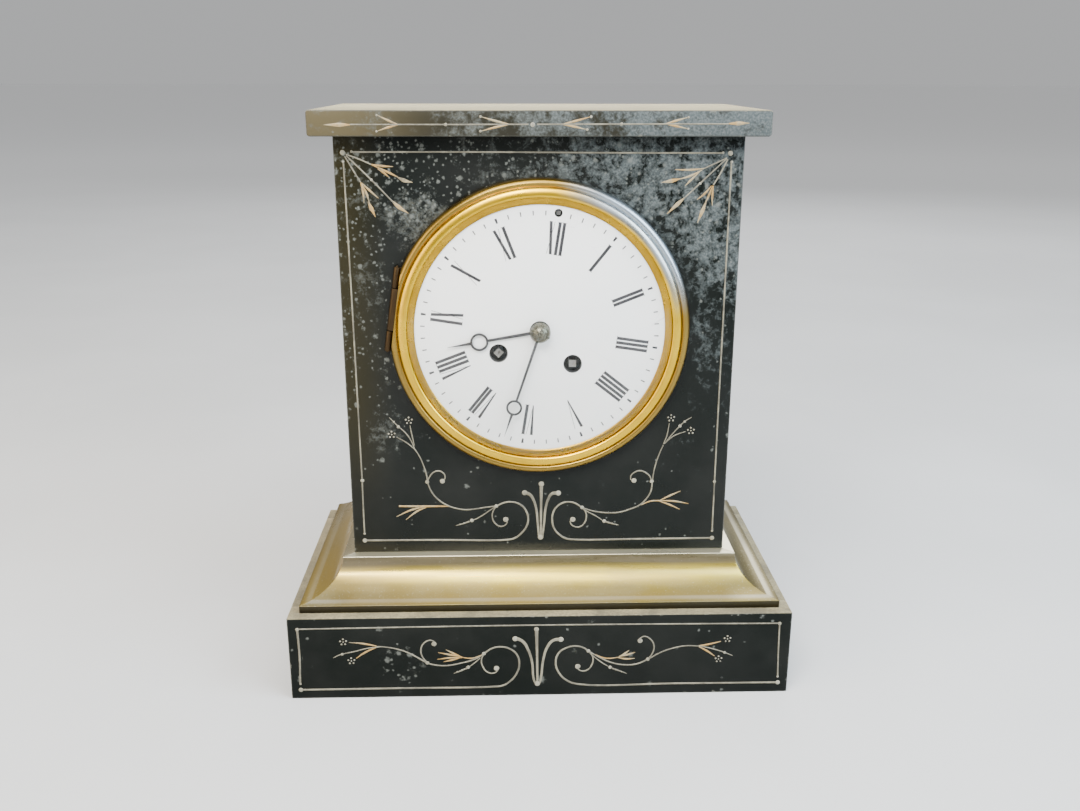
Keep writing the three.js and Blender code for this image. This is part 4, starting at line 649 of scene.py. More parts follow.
# A darker copy of the bezel brass: painted shade from the bezel's lip on the sight ring
shaded_sight_brass = brass_finish("sight ring brass", (0.46, 0.27, 0.012), (0.36, 0.20, 0.009), 0.24)
movement_brass = brass_finish("movement brass", (0.74, 0.55, 0.24), (0.56, 0.38, 0.14), 0.28, 0.4)
case_brass = brass_finish("handled brass", (0.60, 0.42, 0.13), (0.33, 0.21, 0.065), 0.2, 0.6)
hinge_brass = brass_finish(
    "browned hinge brass", (0.052, 0.034, 0.017), (0.032, 0.021, 0.012), 0.4, 0.5, turned=False,
)
bell_bronze = brass_finish(
    "bell bronze", (0.72, 0.60, 0.36), (0.58, 0.44, 0.22), 0.24, 0.35, turned=False,
)
# Brass painted near black as shade, for parts seen only deep behind the dial's holes
shade_painted_brass = brass_finish(
    "shade painted brass", (0.030, 0.022, 0.012), (0.016, 0.012, 0.007), 0.5, 0.5, turned=False,
)
grey_steel = steel_finish("grey steel", (0.40, 0.40, 0.38), (0.27, 0.27, 0.26), 0.3)
hub_steel = steel_finish("hub steel", (0.115, 0.11, 0.08), (0.06, 0.058, 0.042), 0.2)
winding_steel = steel_finish(
    "winding steel", (0.30, 0.29, 0.27), (0.19, 0.185, 0.17), 0.35, shaded_from=SHADED_FROM,
)
dark_steel = steel_finish("dark hand steel", (0.085, 0.085, 0.088), (0.05, 0.049, 0.05), 0.34)
white_enamel = enamel_finish()
clear_glass = glass_finish()
dial_ink = ink_finish("dial ink", (0.024, 0.023, 0.026))
faint_ink = ink_finish("faded dial ink", (0.08, 0.077, 0.078))
hole_shade = ink_finish("shaded hole wall", (0.012, 0.011, 0.010))
line_gilding = gilding_finish(
    "line gilding", (0.175, 0.16, 0.112), (0.10, 0.09, 0.062), (0.045, 0.039, 0.027),
)
leaf_gilding = gilding_finish(
    "leaf gilding", (0.30, 0.175, 0.045), (0.25, 0.205, 0.115), (0.09, 0.045, 0.018),
)
bead_gilding = gilding_finish(
    "bead gilding", (0.25, 0.235, 0.18), (0.17, 0.155, 0.108), (0.08, 0.068, 0.043),
)
sawn_slate = sawn_slate_finish("sawn slate")
base_dust = dusty_slate_finish("dusty base", (0.225, 0.192, 0.108), (0.115, 0.096, 0.05), 0.35)
cornice_dust = dusty_slate_finish("dusty cornice top", (0.155, 0.132, 0.08), (0.075, 0.064, 0.037), 0.2)
front_cove = cove_finish(
    "front cove", (0.52, 0.395, 0.045), (0.35, 0.255, 0.065), (0.12, 0.105, 0.082), 0.75,
)
left_cove = cove_finish(
    "left cove", (0.46, 0.335, 0.07), (0.33, 0.225, 0.045), (0.13, 0.09, 0.035), 0.12, 0.3,
)
# A darker copy of the cove colours: painted shade on the right return
shaded_right_cove = cove_finish(
    "right cove", (0.13, 0.106, 0.033), (0.095, 0.073, 0.024), (0.045, 0.037, 0.022), 0.3,
)

# Slate case

SLABS = {
    "base_front_slab": dict(
        bloom=base_bloom, spots=base_spots, shine=0.07, spot_edge=0.3,
        spot_sizes=((7.0, 0.06), (4.2, 0.08), (2.2, 0.08)),
    ),
    "base_left_slab": dict(),
    "base_right_slab": dict(),
    "base_back_slab": dict(gloss=0.5),
    "body_front_slab": dict(bloom=body_bloom, spots=body_spots, painted_reflection=body_painted_reflection, chips=0.5),
    "body_left_slab": dict(bloom=side_bloom, painted_reflection=body_painted_reflection, chips=0.7, gloss=0.28),
    "body_right_slab": dict(bloom=side_bloom, chips=0.7, gloss=0.28),
    "cornice_slab": dict(bloom=cornice_bloom, painted_reflection=cornice_painted_reflection, gloss=0.34),
}


def dress_slab(name, finish, ease, segments=2, angle=30, soft=30):
    """Welds a slab's CAD mesh, breaks its arrises and finishes it."""
    slab = merged_copy(name)
    ease_edges(slab, ease, segments, angle)
    return fit(slab, "case", finish, name, slot="slate", soft=soft)


for name, looks in SLABS.items():
    low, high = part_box(name)
    finish = slate_finish(name.replace("_", " "), low, high, **looks)
    slab = dress_slab(name, finish, 0.45, 3)
    if not name.startswith("body"):
        slab.data.materials.append(cornice_dust if name == "cornice_slab" else base_dust)
        for face in slab.data.polygons:
            if face.normal.z > 0.4:
                face.material_index = 1
for name, finish in (("cove_front", front_cove), ("cove_left", left_cove), ("cove_right", shaded_right_cove)):
    dress_slab(name, finish, 0.25, 2, 40, 35)
for name in ("body_back_slab", "cove_back_rail", "bed_slab"):
    dress_slab(name, sawn_slate, 0.5)


# Incised and gilded ornament

BEAD_SHARE = 0.84
BEAD_PROUD = 1.35


def press(line, face, proud=1.0):
    """Presses a round line into the face, with its crown a hair proud of it."""
    deepest = max(vertex.co.y for vertex in line.data.vertices)
    for vertex in line.data.vertices:
        vertex.co.y = vertex.co.y / deepest * GILDING_PROUD * proud * MM + face * MM
    line.data.update()
    return line


def stroke(points, widths, face):
    """One incised line through (across, height) points; widths are at its start, middle and end."""
    curve = bpy.data.curves.new("stroke", "CURVE")
    curve.dimensions = "3D"
    curve.bevel_depth = 1.0
    curve.bevel_resolution = 2
    curve.resolution_u = 6
    curve.use_fill_caps = True
    spline = curve.splines.new("BEZIER")
    spline.bezier_points.add(len(points) - 1)
    start, middle, end = widths
    for number, (knot, (across, height)) in enumerate(zip(spline.bezier_points, points)):
        share = number / (len(points) - 1)
        if share < 0.5:
            width = start + (middle - start) * share * 2
        else:
            width = middle + (end - middle) * (share * 2 - 1)
        knot.co = (across * MM, 0, height * MM)
        knot.handle_left_type = "AUTO"
        knot.handle_right_type = "AUTO"
        knot.radius = width / 2 * MM
    line = bpy.data.objects.new("stroke", curve)
    bpy.context.scene.collection.objects.link(line)
    pick(line)
    bpy.ops.object.convert(target="MESH")
    return press(bpy.context.object, face)


def bead(across, height, radius, face):
    clear_selection()
    bpy.ops.mesh.primitive_uv_sphere_add(
        segments=20, ring_count=12, radius=radius * BEAD_SHARE * MM, location=(across * MM, 0, height * MM),
    )
    dot = bpy.context.object
    settle(dot)
    return press(dot, face, BEAD_PROUD)


def ornament(name, face, lines, leaves, beads):
    """Joins one face's lines, leaves and beads into three gilded pieces."""
    lines = [stroke(points, widths, face) for widths, points in lines]
    leaves = [stroke(points, widths, face) for widths, points in leaves]
    beads = [bead(*dot, face) for dot in beads]
    for suffix, pieces, finish in (
        ("_lines", lines, line_gilding), ("_leaves", leaves, leaf_gilding), ("_beads", beads, bead_gilding),
    ):
        fit(join(name + suffix, pieces), "case", finish, soft=60)


def cluster(across, height, radius=0.46, ring=1.3):
    """A berry: one dot with five round it."""
    dots = [(across, height, radius * 0.8)]
    for number in range(5):
        angle = math.radians(72 * number + 20)
        dots.append((across + ring * math.cos(angle), height + ring * math.sin(angle), radius))
    return dots


# Widths of the incised lines at their start, middle and end
BORDER = (0.62, 0.62, 0.62)
BASE_LINE = (0.8, 0.8, 0.68)
STEM = (0.52, 0.64, 0.44)
THIN = (0.35, 0.52, 0.3)
LEAF = (0.3, 0.85, 0.2)
SPEAR = (0.4, 1.55, 0.15)
PALM = (1.5, 1, 0.8)
FLOURISH = (0.75, 0.6, 0.25)
BASE_FLOURISH = (0.7, 0.6, 0.25)
FAN_RAY = (0.5, 0.6, 0.5)
TWIG = (0.5, 0.8, 0.3)
CORNICE_LINE = (0.5, 0.55, 0.5)

body_lines = [
    (BORDER, [(-72, 223.2), (-25, 223.2), (25, 222.9), (70.9, 222.8)]),
    (BORDER, [(-75.7, 219), (-75.3, 180), (-74.9, 120), (-74.7, 89.3)]),
    (BORDER, [(-74.7, 87.4), (-74.8, 75), (-74.8, 64.4)]),
    (BORDER, [(74.5, 219.2), (74.5, 160), (74.5, 100), (74.6, 64)]),
    (BASE_LINE, [(-74.8, 60.8), (-43.5, 60.7), (-13.4, 60.5), (-10.6, 61.2), (-7.8, 63.4), (-5.5, 66.7),
                 (-4.8, 70), (-5.7, 73.8), (-8, 76.6), (-11.3, 77.9), (-14.8, 77.7), (-18.4, 76.1)]),
    (STEM, [(-18.4, 76.1), (-19.9, 73.4), (-20.1, 70.7), (-19, 68.2), (-17, 66.8), (-14.8, 67.2),
            (-13.6, 68.9)]),
    (STEM, [(-18.4, 76.1), (-22.9, 75.6), (-28, 74.8), (-31.5, 74.6), (-35.6, 75.3), (-39.6, 76.9),
            (-43, 79.4), (-45.4, 82.4), (-47.1, 86.7), (-47.6, 90.5), (-48.7, 94.7), (-50.5, 99.3),
            (-52.1, 102)]),
    (STEM, [(-47.4, 87.5), (-46.3, 89.7), (-44.9, 91.5), (-42.7, 92.3), (-40.7, 91.5), (-39.8, 89.6),
            (-40.4, 87.8)]),
    (THIN, [(-18.4, 76.1), (-21.4, 74), (-24.5, 71.8), (-27.3, 70.2), (-29.4, 69.4)]),
    (FLOURISH, [(-29.9, 69.2), (-31.4, 68.6), (-35.7, 67.3)]),
    (THIN, [(-52.1, 102), (-53.9, 106.5), (-56, 109.6), (-58.5, 112), (-62.2, 116.1)]),
    (THIN, [(-52.1, 102), (-55.2, 104.8), (-59.6, 107.6)]),
    (THIN, [(-52.3, 103.8), (-53.1, 108.2), (-53.8, 112.6)]),
    (BASE_LINE, [(74.6, 60.3), (43.3, 60.2), (13.8, 60.3), (11.2, 60.9), (8.5, 62.7), (6.4, 65.4),
                 (5.5, 69.1), (5.9, 73), (7.4, 75.5), (9.7, 77.2), (12.6, 77.7), (15.2, 77.1),
                 (18.1, 75.1)]),
    (STEM, [(18.1, 75.1), (19.7, 73.1), (20.1, 70.6), (19.2, 67.8), (17.4, 66.2), (15.3, 66.2),
            (13.6, 67.4), (13.1, 69)]),
    (STEM, [(18.1, 75.1), (22, 73.7), (26.2, 72.8), (30.4, 72.5), (34.6, 72.8), (38.7, 74.1), (42.4, 75.7),
            (45.4, 78.5), (47.4, 82.1), (47.9, 85.9), (48.3, 90.2), (49.1, 94.5), (50.6, 99.4),
            (52.1, 103.2)]),
    (STEM, [(47.6, 86.8), (46.9, 88.9), (45, 90.7), (42.7, 91.6), (40.4, 91), (38.8, 89.4), (38.7, 87.5)]),
    (THIN, [(18.4, 74.6), (21, 72.9), (24.2, 71.1), (27.4, 68.8)]),
    (FLOURISH, [(28.2, 68.5), (31.6, 67.4), (34, 66.8)]),
    (THIN, [(52.1, 103.6), (53.4, 107.3), (54.2, 112.6)]),
    (THIN, [(52.4, 103.6), (55.5, 107.7), (58.7, 111.4), (60.5, 113.3), (63.4, 115.2)]),
    (THIN, [(52.4, 103.6), (56.2, 107), (61.2, 109)]),
    (PALM, [(-5.7, 82), (-4, 81.2), (-2.5, 78.7), (-1.4, 74.9), (-0.8, 68.8), (-0.2, 61.6)]),
    (PALM, [(0.8, 86), (0.7, 77.6), (0.6, 61)]),
    (PALM, [(7.6, 81.9), (5.3, 81.5), (3.8, 79.2), (2.7, 75.3), (2, 68), (1.2, 61)]),
    (FAN_RAY, [(-74.6, 222.3), (-69.8, 220.6), (-65.1, 218.5)]),
    (FAN_RAY, [(-74.6, 221.9), (-65.3, 212.7), (-56.9, 203.8)]),
    (FAN_RAY, [(-75.1, 221.6), (-72.1, 216.3), (-69.5, 211.8)]),
    (FAN_RAY, [(72.6, 220.9), (68.1, 218.8), (63.9, 216.9)]),
    (FAN_RAY, [(72.6, 220.7), (63.4, 212), (56.3, 205.2)]),
    (FAN_RAY, [(73, 220.4), (70.1, 214.5), (67.8, 210.6)]),
]
body_leaves = [
    ((0.4, 0.9, 0.75), [(-38.1, 76.2), (-44, 76.3), (-50, 76.3), (-59.7, 76.5)]),
    (LEAF, [(-48.1, 76.2), (-54.2, 74.8), (-60.9, 71.7)]),
    (LEAF, [(-48.1, 75.9), (-52.2, 74), (-56.9, 70.3)]),
    ((0.4, 0.6, 0.6), [(43.4, 76), (47.5, 77.7), (51.2, 77.9)]),
    (LEAF, [(51.2, 77.9), (55.8, 80.2), (60.2, 82.3)]),
    (LEAF, [(51.2, 77.9), (57.5, 77.6), (63.8, 76.4)]),
    (LEAF, [(51.2, 77.7), (55.4, 76.1), (60.2, 73.8)]),
    (LEAF, [(-65.1, 218.6), (-60.9, 217.9), (-56.7, 217.7)]),
    (LEAF, [(-65.1, 218.5), (-58.2, 215.3), (-54.1, 213.2)]),
    (SPEAR, [(-55.2, 213.7), (-52.8, 212.5), (-49.4, 211.7)]),
    (LEAF, [(-62.7, 216.9), (-60.3, 215.3), (-58.3, 213.5)]),
    (SPEAR, [(-57.9, 204.9), (-55.2, 202.4), (-51.4, 199.8)]),
    (LEAF, [(-69.5, 211.8), (-68.7, 208), (-68.5, 203.8)]),
    (LEAF, [(-69.3, 211.5), (-67.5, 207.7), (-66.3, 203.6)]),
    (SPEAR, [(-66.9, 204.4), (-65.8, 201.8), (-64.3, 198.4)]),
    (LEAF, [(-69.2, 211.6), (-66.2, 208.7), (-62.8, 205.6)]),
    (LEAF, [(63.9, 216.9), (58.6, 216.4), (52.6, 216.5)]),
    (LEAF, [(63.2, 216.4), (58.7, 214.1), (53.5, 212.6)]),
    (SPEAR, [(54.6, 213), (51.4, 212.2), (47.4, 211.6)]),
    (LEAF, [(62.2, 215.7), (58.8, 212.4), (56.8, 210.3)]),
    (SPEAR, [(57, 205.9), (54, 203.2), (50, 199.4)]),
    (LEAF, [(67.8, 210.3), (67.6, 206.4), (67.8, 202.6)]),
    (LEAF, [(67.5, 210.3), (66.2, 206.4), (64.6, 202.9)]),
    (SPEAR, [(65.2, 204), (64, 200.6), (62.2, 195.9)]),
    (LEAF, [(67.1, 210.3), (64.4, 207.1), (61.6, 204.9)]),
]
body_beads = [
    (-75.9, 223, 1.15), (-72.4, 223.4, 0.6), (-75.8, 219.5, 0.6), (73.9, 222.7, 1.15), (71, 222.9, 0.6),
    (74.6, 219.4, 0.6), (-74.8, 60.8, 1.15), (-74.8, 64, 0.6), (74.7, 60.3, 1.15), (74.6, 63.6, 0.6),
    (-74.6, 88.3, 0.95), (74.5, 86.4, 0.8), (-14.4, 69.9, 1.35), (14.3, 69.6, 1.35), (-18.4, 76.1, 0.95),
    (18.2, 75.1, 0.95), (-47.4, 87.4, 1), (47.7, 86.8, 1), (-41, 87.7, 1.25), (40.1, 87.2, 1.25),
    (-28.9, 69.6, 0.95), (27.8, 68.7, 0.95), (-32.2, 68.4, 0.42), (31.2, 67.6, 0.42), (-6.3, 82.1, 1.35),
    (8, 81.8, 1.35), (0.8, 86, 1.35), (0.5, 61.5, 1.35), (-58.6, 112, 0.8), (58.7, 111.4, 0.8),
    (-65.3, 212.7, 0.65), (62.6, 211.2, 0.65), (60.6, 113.3, 0.6), (-33.9, 67.9, 0.36), (33.2, 67, 0.36),
    (-60.4, 114.2, 0.5),
    *cluster(-61.5, 108.6), *cluster(-54.2, 114.7), *cluster(54.9, 114.9), *cluster(63.4, 109.3),
]
ornament("body_ornament", BODY_FACE, body_lines, body_leaves, body_beads)

base_lines = [
    (BORDER, [(-100.8, 32.7), (-45.6, 33.1), (0.4, 33.2), (49.6, 33), (99.8, 32.6)]),
    ((0.9, 0.75, 0.75), [(-100.8, 32.6), (-100.6, 20), (-101.1, 7.4)]),
    (BORDER, [(99.9, 32.4), (100.2, 20), (100.7, 7.6)]),
    (BASE_LINE, [(-101, 4.2), (-58.9, 4.3), (-20, 4.4), (-16.1, 4.9), (-12.8, 7.1), (-10.1, 10.9),
                 (-9.1, 15.4), (-10.1, 19.5), (-12.7, 22.1), (-16.6, 23.3), (-20.5, 22.6), (-23.9, 20.2)]),
    (STEM, [(-23.9, 20.2), (-25, 17.1), (-24.4, 14), (-22.5, 11.4), (-19.8, 10.9), (-18.1, 12.2)]),
    (STEM, [(-33, 16), (-38.9, 14.8), (-44.1, 15.1), (-47.7, 16.2), (-50.6, 18.1), (-54.4, 20.5),
            (-58.2, 22.3), (-64.7, 23.9), (-68.5, 24.2)]),
    (STEM, [(-23.9, 20.2), (-26.4, 18.3), (-29.4, 17), (-33.4, 15.9), (-38.9, 14.8)]),
    (STEM, [(-47.7, 16.2), (-49.7, 19.4), (-50.1, 22.7), (-48.7, 25.6), (-46.1, 26.8), (-44.2, 26.1)]),
    (THIN, [(-67.3, 24), (-72.5, 23.4), (-77.7, 22), (-84, 20.5), (-86.6, 19.2)]),
    (THIN, [(-25.4, 18.2), (-28.1, 15.7), (-30.1, 14.1)]),
    (BASE_FLOURISH, [(-31, 13.5), (-34.4, 11.9), (-36.7, 11)]),
    (PALM, [(-10.4, 27.2), (-7.6, 25.7), (-5.5, 22), (-3.8, 16.1), (-2.9, 7.1), (-2.1, 5.4)]),
    (PALM, [(-1.9, 31.4), (-1.7, 21.9), (-1.5, 6.4)]),
    (BASE_LINE, [(101, 4.5), (57.5, 4.7), (16, 5), (11.4, 6.6), (7.6, 10.6), (6.2, 15.6), (7.3, 19.8),
                 (10.4, 22.3), (14.4, 23.2), (17.9, 22.3), (19.8, 20.8)]),
    (STEM, [(19.8, 20.8), (21.7, 18.1), (21.4, 14.2), (19.4, 11.7), (17, 11.4), (15.1, 12.7)]),
    (STEM, [(19.8, 20.8), (24.1, 18), (29.6, 15.2), (35.1, 14), (40.6, 14.4), (45, 16.5), (50.1, 19.5),
            (55.5, 21.6), (60.9, 22.6), (66.4, 22.4)]),
    (STEM, [(45, 16.5), (47, 19.6), (47.4, 23), (45.7, 26.1), (43.2, 27.3), (41.1, 26.2)]),
    (THIN, [(67.1, 22.4), (72.7, 20.9), (77.6, 19.1), (80.8, 17.7)]),
    (THIN, [(20.6, 19.6), (25.5, 15.3), (28.3, 13.4)]),
    (BASE_FLOURISH, [(30, 12.4), (32.8, 11.3), (36.3, 9.8)]),
    (PALM, [(7.9, 26.5), (5.1, 26), (2.7, 23), (1, 17.2), (-0.2, 7.2), (-0.8, 5.4)]),
]
base_leaves = [
    (THIN, [(-24.4, 19.7), (-29, 18.1), (-33.6, 18.7)]),
    (LEAF, [(-33, 18.7), (-36.8, 20.6), (-39.7, 22.3)]),
    (LEAF, [(-33, 18.7), (-38.1, 19.9), (-43, 21)]),
    (LEAF, [(-33, 18.4), (-38.2, 18.4), (-43.4, 17.8)]),
    (LEAF, [(-34.3, 18.2), (-37.6, 17.3), (-40.8, 16.6)]),
    (THIN, [(22.7, 19), (27.5, 17.2), (33.3, 17.7)]),
    (LEAF, [(32.8, 17.9), (35.3, 19.4), (37, 20.9)]),
    (LEAF, [(32.8, 17.9), (36.4, 18.8), (39.6, 19.9)]),
    (LEAF, [(32.3, 17.5), (35.8, 16.8), (39.5, 17)]),
    (TWIG, [(-68.5, 24.4), (-73.7, 25.6), (-79.8, 26.3)]),
    (TWIG, [(-68.6, 23.9), (-73.2, 21.6), (-77.2, 18.8)]),
    (TWIG, [(66.4, 22.5), (70.5, 23.2), (75.6, 24.5)]),
    (TWIG, [(66.4, 22.2), (70, 20), (73.2, 17.6)]),
]
base_beads = [
    (-100.8, 32.6, 0.9), (-101, 4.2, 1.15), (99.9, 32.5, 0.9), (100.9, 4.5, 1.15), (-18.7, 13.2, 1.35),
    (15.5, 13.5, 1.35), (-23.9, 20.2, 0.95), (19.9, 20.8, 0.95), (-47.6, 16.2, 0.95), (45, 16.5, 0.95),
    (-44.6, 25.1, 1.25), (41.5, 25.3, 1.25), (-30.6, 13.9, 0.9), (29.2, 12.9, 0.9), (-33.2, 12.6, 0.42),
    (31.6, 11.8, 0.42), (-35.2, 11.8, 0.36), (34, 10.8, 0.36), (-10.8, 27, 1.35), (8.3, 26.4, 1.35),
    (-1.9, 31.3, 1.2), (-1.5, 5.6, 1.35), (-82.9, 20.8, 0.7), (77.4, 19.2, 0.7), (-101, 7, 0.55),
    (100.7, 7.3, 0.55),
    *cluster(-82.2, 26.5), *cluster(-79.2, 17.6), *cluster(78.3, 25.6), *cluster(75, 16.1),
]
ornament("base_ornament", BASE_FACE, base_lines, base_leaves, base_beads)

cornice_lines = [
    (CORNICE_LINE, [(-71.5, 233.7), (-36.5, 233.7), (-4.6, 233.8)]),
    (CORNICE_LINE, [(-1.4, 233.8), (34, 233.9), (71.2, 234)]),
]
cornice_leaves = [
    (SPEAR, [(-71.5, 233.6), (-75.5, 233.6), (-81.3, 233.6)]),
    (LEAF, [(-53.4, 233.6), (-57, 235.1), (-61, 237)]),
    (LEAF, [(-53.4, 233.6), (-57.2, 232.7), (-61.2, 231.4)]),
    (LEAF, [(-11.7, 233.8), (-16.5, 234.9), (-22.1, 236.5)]),
    (LEAF, [(-11.7, 233.8), (-16.7, 232.8), (-22.2, 231.4)]),
    (LEAF, [(8.1, 233.8), (13, 235), (18.5, 236.5)]),
    (LEAF, [(8.1, 233.8), (12.6, 233), (17, 232)]),
    (LEAF, [(47.2, 234), (51, 235.1), (55.3, 236.3)]),
    (LEAF, [(47.2, 234), (51.2, 233.2), (55.4, 232.3)]),
    (SPEAR, [(71.2, 234.1), (75, 234.2), (79.1, 234.3)]),
]
cornice_beads = [
    (-3, 233.7, 1), (-35.7, 233.7, 0.75), (30.6, 233.9, 0.75), (-22.6, 236.6, 0.6), (-22.7, 231.3, 0.6),
    (19, 236.6, 0.6), (17.6, 231.9, 0.6), (-61.4, 237.1, 0.5), (-61.7, 231.2, 0.5), (55.8, 236.4, 0.5),
    (55.9, 232.2, 0.5),
]
ornament("cornice_ornament", CORNICE_FACE, cornice_lines, cornice_leaves, cornice_beads)

# Bezel, glass and front hinge

bezel_profile = [
    (54.8, -34.3), (54.8, -36.9), (53.6, -37), (53.42, -37.25), (53.5, -37.6), (53.85, -37.85),
    (54.5, -37.9), (55.6, -37.65), (56.5, -37.3), (56.9, -36.9), (57.1, -36.35), (57.3, -36.25),
    (57.5, -36.55), (57.9, -36.9), (58.5, -37), (59.2, -36.8), (59.85, -36.3), (60.35, -35.6),
    (60.62, -34.9), (60.7, -34.2), (60.7, -32.8), (59.75, -32.8), (59.75, -34.3),
]
HINGE_ACROSS = -59.7
HINGE = (HINGE_ACROSS, -34.1)
KNUCKLE_RADIUS = 1.3
# Half the height of the bezel's knuckle, of the room cut for it and of the notch for the whole hinge
KNUCKLE_END = 8.58
ROOM_END = 8.9
NOTCH_END = 18.2
RIM_FLAT = -58.1
GLASS_THICKNESS = 1.0


def hinge_rod(name, hinge, low, high, radius, sides=28, ease=0.12):
    """A knuckle or pin of an upright hinge, whose place is given across and in depth."""
    return rod(name, (*hinge, low), (*hinge, high), radius, sides, ease)


bezel_rim = turn("bezel_rim", bezel_profile, 192, 0.06)
drill(bezel_rim, block("notch", (-63, -34.7, -NOTCH_END), (-56.2, -31.5, NOTCH_END), 0))
drill(bezel_rim, block("flat", (-63, -40, -NOTCH_END), (RIM_FLAT, -31.5, NOTCH_END), 0))
fit(bezel_rim, "bezel", bezel_brass, "bezel", slot="bezel_brass", soft=25, with_movement=True)

hinge_leaf = block("bezel_hinge_leaf", (HINGE_ACROSS, -35.4, -8.5), (RIM_FLAT + 0.8, -34.7, 8.5), 0.1)
bezel_knuckle = hinge_rod("bezel_knuckle", HINGE, -KNUCKLE_END, KNUCKLE_END, KNUCKLE_RADIUS)
bezel_leaf = join("bezel_hinge_half", [bezel_knuckle, hinge_leaf])
fit(bezel_leaf, "bezel", hinge_brass, slot="brass", soft=30, with_movement=True)


def domed(radius, rise, rim, count):
    """Points of a shallow dome from its crown to its rim."""
    reaches = [radius * number / count for number in range(count + 1)]
    return [(reach, rim - rise * (1 - (reach / radius) ** 2)) for reach in reaches]


glass_outside = domed(54.45, 8.4, -36.7, 24)
glass_inside = [(reach, depth + GLASS_THICKNESS) for reach, depth in reversed(glass_outside)]
glass = turn("domed_glass", glass_outside + glass_inside)
fit(glass, "bezel", clear_glass, "bezel_glass", slot="glass", soft=45, with_movement=True)

sight_profile = [
    (50.5, -35.2), (50.6, -35.05), (54.4, -35.05), (54.4, -35.5), (53.5, -35.88), (52.4, -35.8),
    (51.2, -35.52),
]
sight = turn("inner_sight_ring", sight_profile, 160, 0.05)
fit(sight, "bezel", shaded_sight_brass, "sight_ring", slot="bezel_brass", soft=25, with_movement=True)

ring_profile = [
    (52.2, -33.9), (52.4, -34), (58.95, -34), (59.15, -33.8), (59.15, -32.5), (53.4, -32.5), (53.4, -18.5),
    (52.2, -18.5), (52.2, -31.4), (49.5, -31.4), (49.5, -32.4), (52.2, -32.4),
]
ring_body = turn("front_ring_body", ring_profile)
drill(ring_body, block("knuckle_room", (-60.7, -35, -ROOM_END), (RIM_FLAT, -31.5, ROOM_END), 0))
ring_parts = [ring_body]
for low, high in ((ROOM_END, 17.2), (-17.2, -ROOM_END)):
    ring_parts.append(hinge_rod("ring_knuckle", HINGE, low, high, KNUCKLE_RADIUS))
    ring_parts.append(block("ring_leaf", (HINGE_ACROSS, -34, low), (-55.1, -32.8, high), 0.12))
front_ring = join("hinged_front_ring", ring_parts)
fit(front_ring, "case", hinge_brass, "front_ring", slot="brass", soft=30, with_movement=True)

front_pin = hinge_rod("front_hinge_pin", HINGE, -17.75, 17.75, radius=0.5, sides=20, ease=0.18)
fit(front_pin, "case", hinge_brass, "bezel_hinge_pin", slot="steel", soft=40, with_movement=True)

# Dial

DIAL_RADIUS = 51.9
DIAL_RISE = 0.8
DIAL_RIM = -34.8
DIAL_BACK = -33.2
WINDING_ACROSS = 15.2
WINDING_HEIGHT = -11.4
# Across, height and radius of the holes for the two squares, the hands and the regulator
HOLES = [
    (-WINDING_ACROSS, WINDING_HEIGHT, 3.7), (WINDING_ACROSS, WINDING_HEIGHT, 3.7), (0, 0, 4.2),
    (0, 47.7, 1.6),
]


def dial_front(reach):
    """Depth of the dial's gently domed face at a distance from its centre."""
    return DIAL_RIM - DIAL_RISE * (1 - (reach / DIAL_RADIUS) ** 2)


def shade_walls(piece, slack, steepest=math.inf):
    """Darkens the faces inside the holes, up to the given slack round them."""
    piece.data.materials.append(hole_shade)
    for face in piece.data.polygons:
        at = MOVEMENT.inverted() @ face.center / MM
        for across, height, radius in HOLES:
            if math.hypot(at.x - across, at.z - height) < radius + slack and abs(face.normal.y) < steepest:
                face.material_index = 1


face_profile = domed(DIAL_RADIUS, DIAL_RISE, DIAL_RIM, 20) + [(DIAL_RADIUS, DIAL_BACK), (0, DIAL_BACK)]
enamel = turn("enamel_face", face_profile, 160)
for across, height, radius in HOLES:
    drill(enamel, rod("cutter", (across, -40, height), (across, -30, height), radius, 64))
fit(enamel, "case", white_enamel, "enamel_dial", slot="enamel", soft=35, with_movement=True)
shade_walls(enamel, 0.02, 0.5)

lip_profile = [(-0.08, 0.3), (-0.06, -0.02), (0.1, -0.14), (0.4, -0.14), (0.7, 0), (0.9, 0.12), (0.5, 0.3)]
lips = []
for across, height, radius in HOLES[:2]:
    level = dial_front(math.hypot(across, height))
    lip = turn("hole_lip", [(radius + out, level + depth) for out, depth in lip_profile], 64)
    lip.data.transform(Matrix.Translation((across * MM, 0, height * MM)))
    lips.append(lip)
lips = join("winding_hole_lips", lips)
fit(lips, "case", white_enamel, slot="enamel", soft=40, with_movement=True)
shade_walls(lips, 0.06)


INK_PROUD = 0.03
INK_THICKNESS = 0.05


def ink_stroke(angle, outer, inner, across, widths):
    """A straight ink stroke on the dial, from an outer to an inner radius, with the offsets there."""
    clear_selection()
    bpy.ops.mesh.primitive_grid_add(x_subdivisions=1, y_subdivisions=5, size=2)
    piece = bpy.context.object
    turn_by = math.radians(angle)
    for vertex in piece.data.vertices:
        share = (vertex.co.y + 1) / 2
        reach = outer + (inner - outer) * share
        half = (widths[0] + (widths[1] - widths[0]) * share) / 2
        side = across[0] + (across[1] - across[0]) * share + vertex.co.x * half
        u = side * math.cos(turn_by) + reach * math.sin(turn_by)
        v = -side * math.sin(turn_by) + reach * math.cos(turn_by)
        vertex.co = (u * MM, (dial_front(math.hypot(u, v)) - INK_PROUD) * MM, v * MM)
    return piece


def print_on_dial(name, strokes, finish):
    """Joins ink strokes into one printing and gives it a hair of thickness."""
    printing = join(name, strokes)
    edit_all(printing)
    bpy.ops.mesh.normals_make_consistent(inside=False)
    leave_edit()
    work(printing, "SOLIDIFY", thickness=INK_THICKNESS * MM, offset=0)
    fit(printing, "case", finish, with_movement=True)


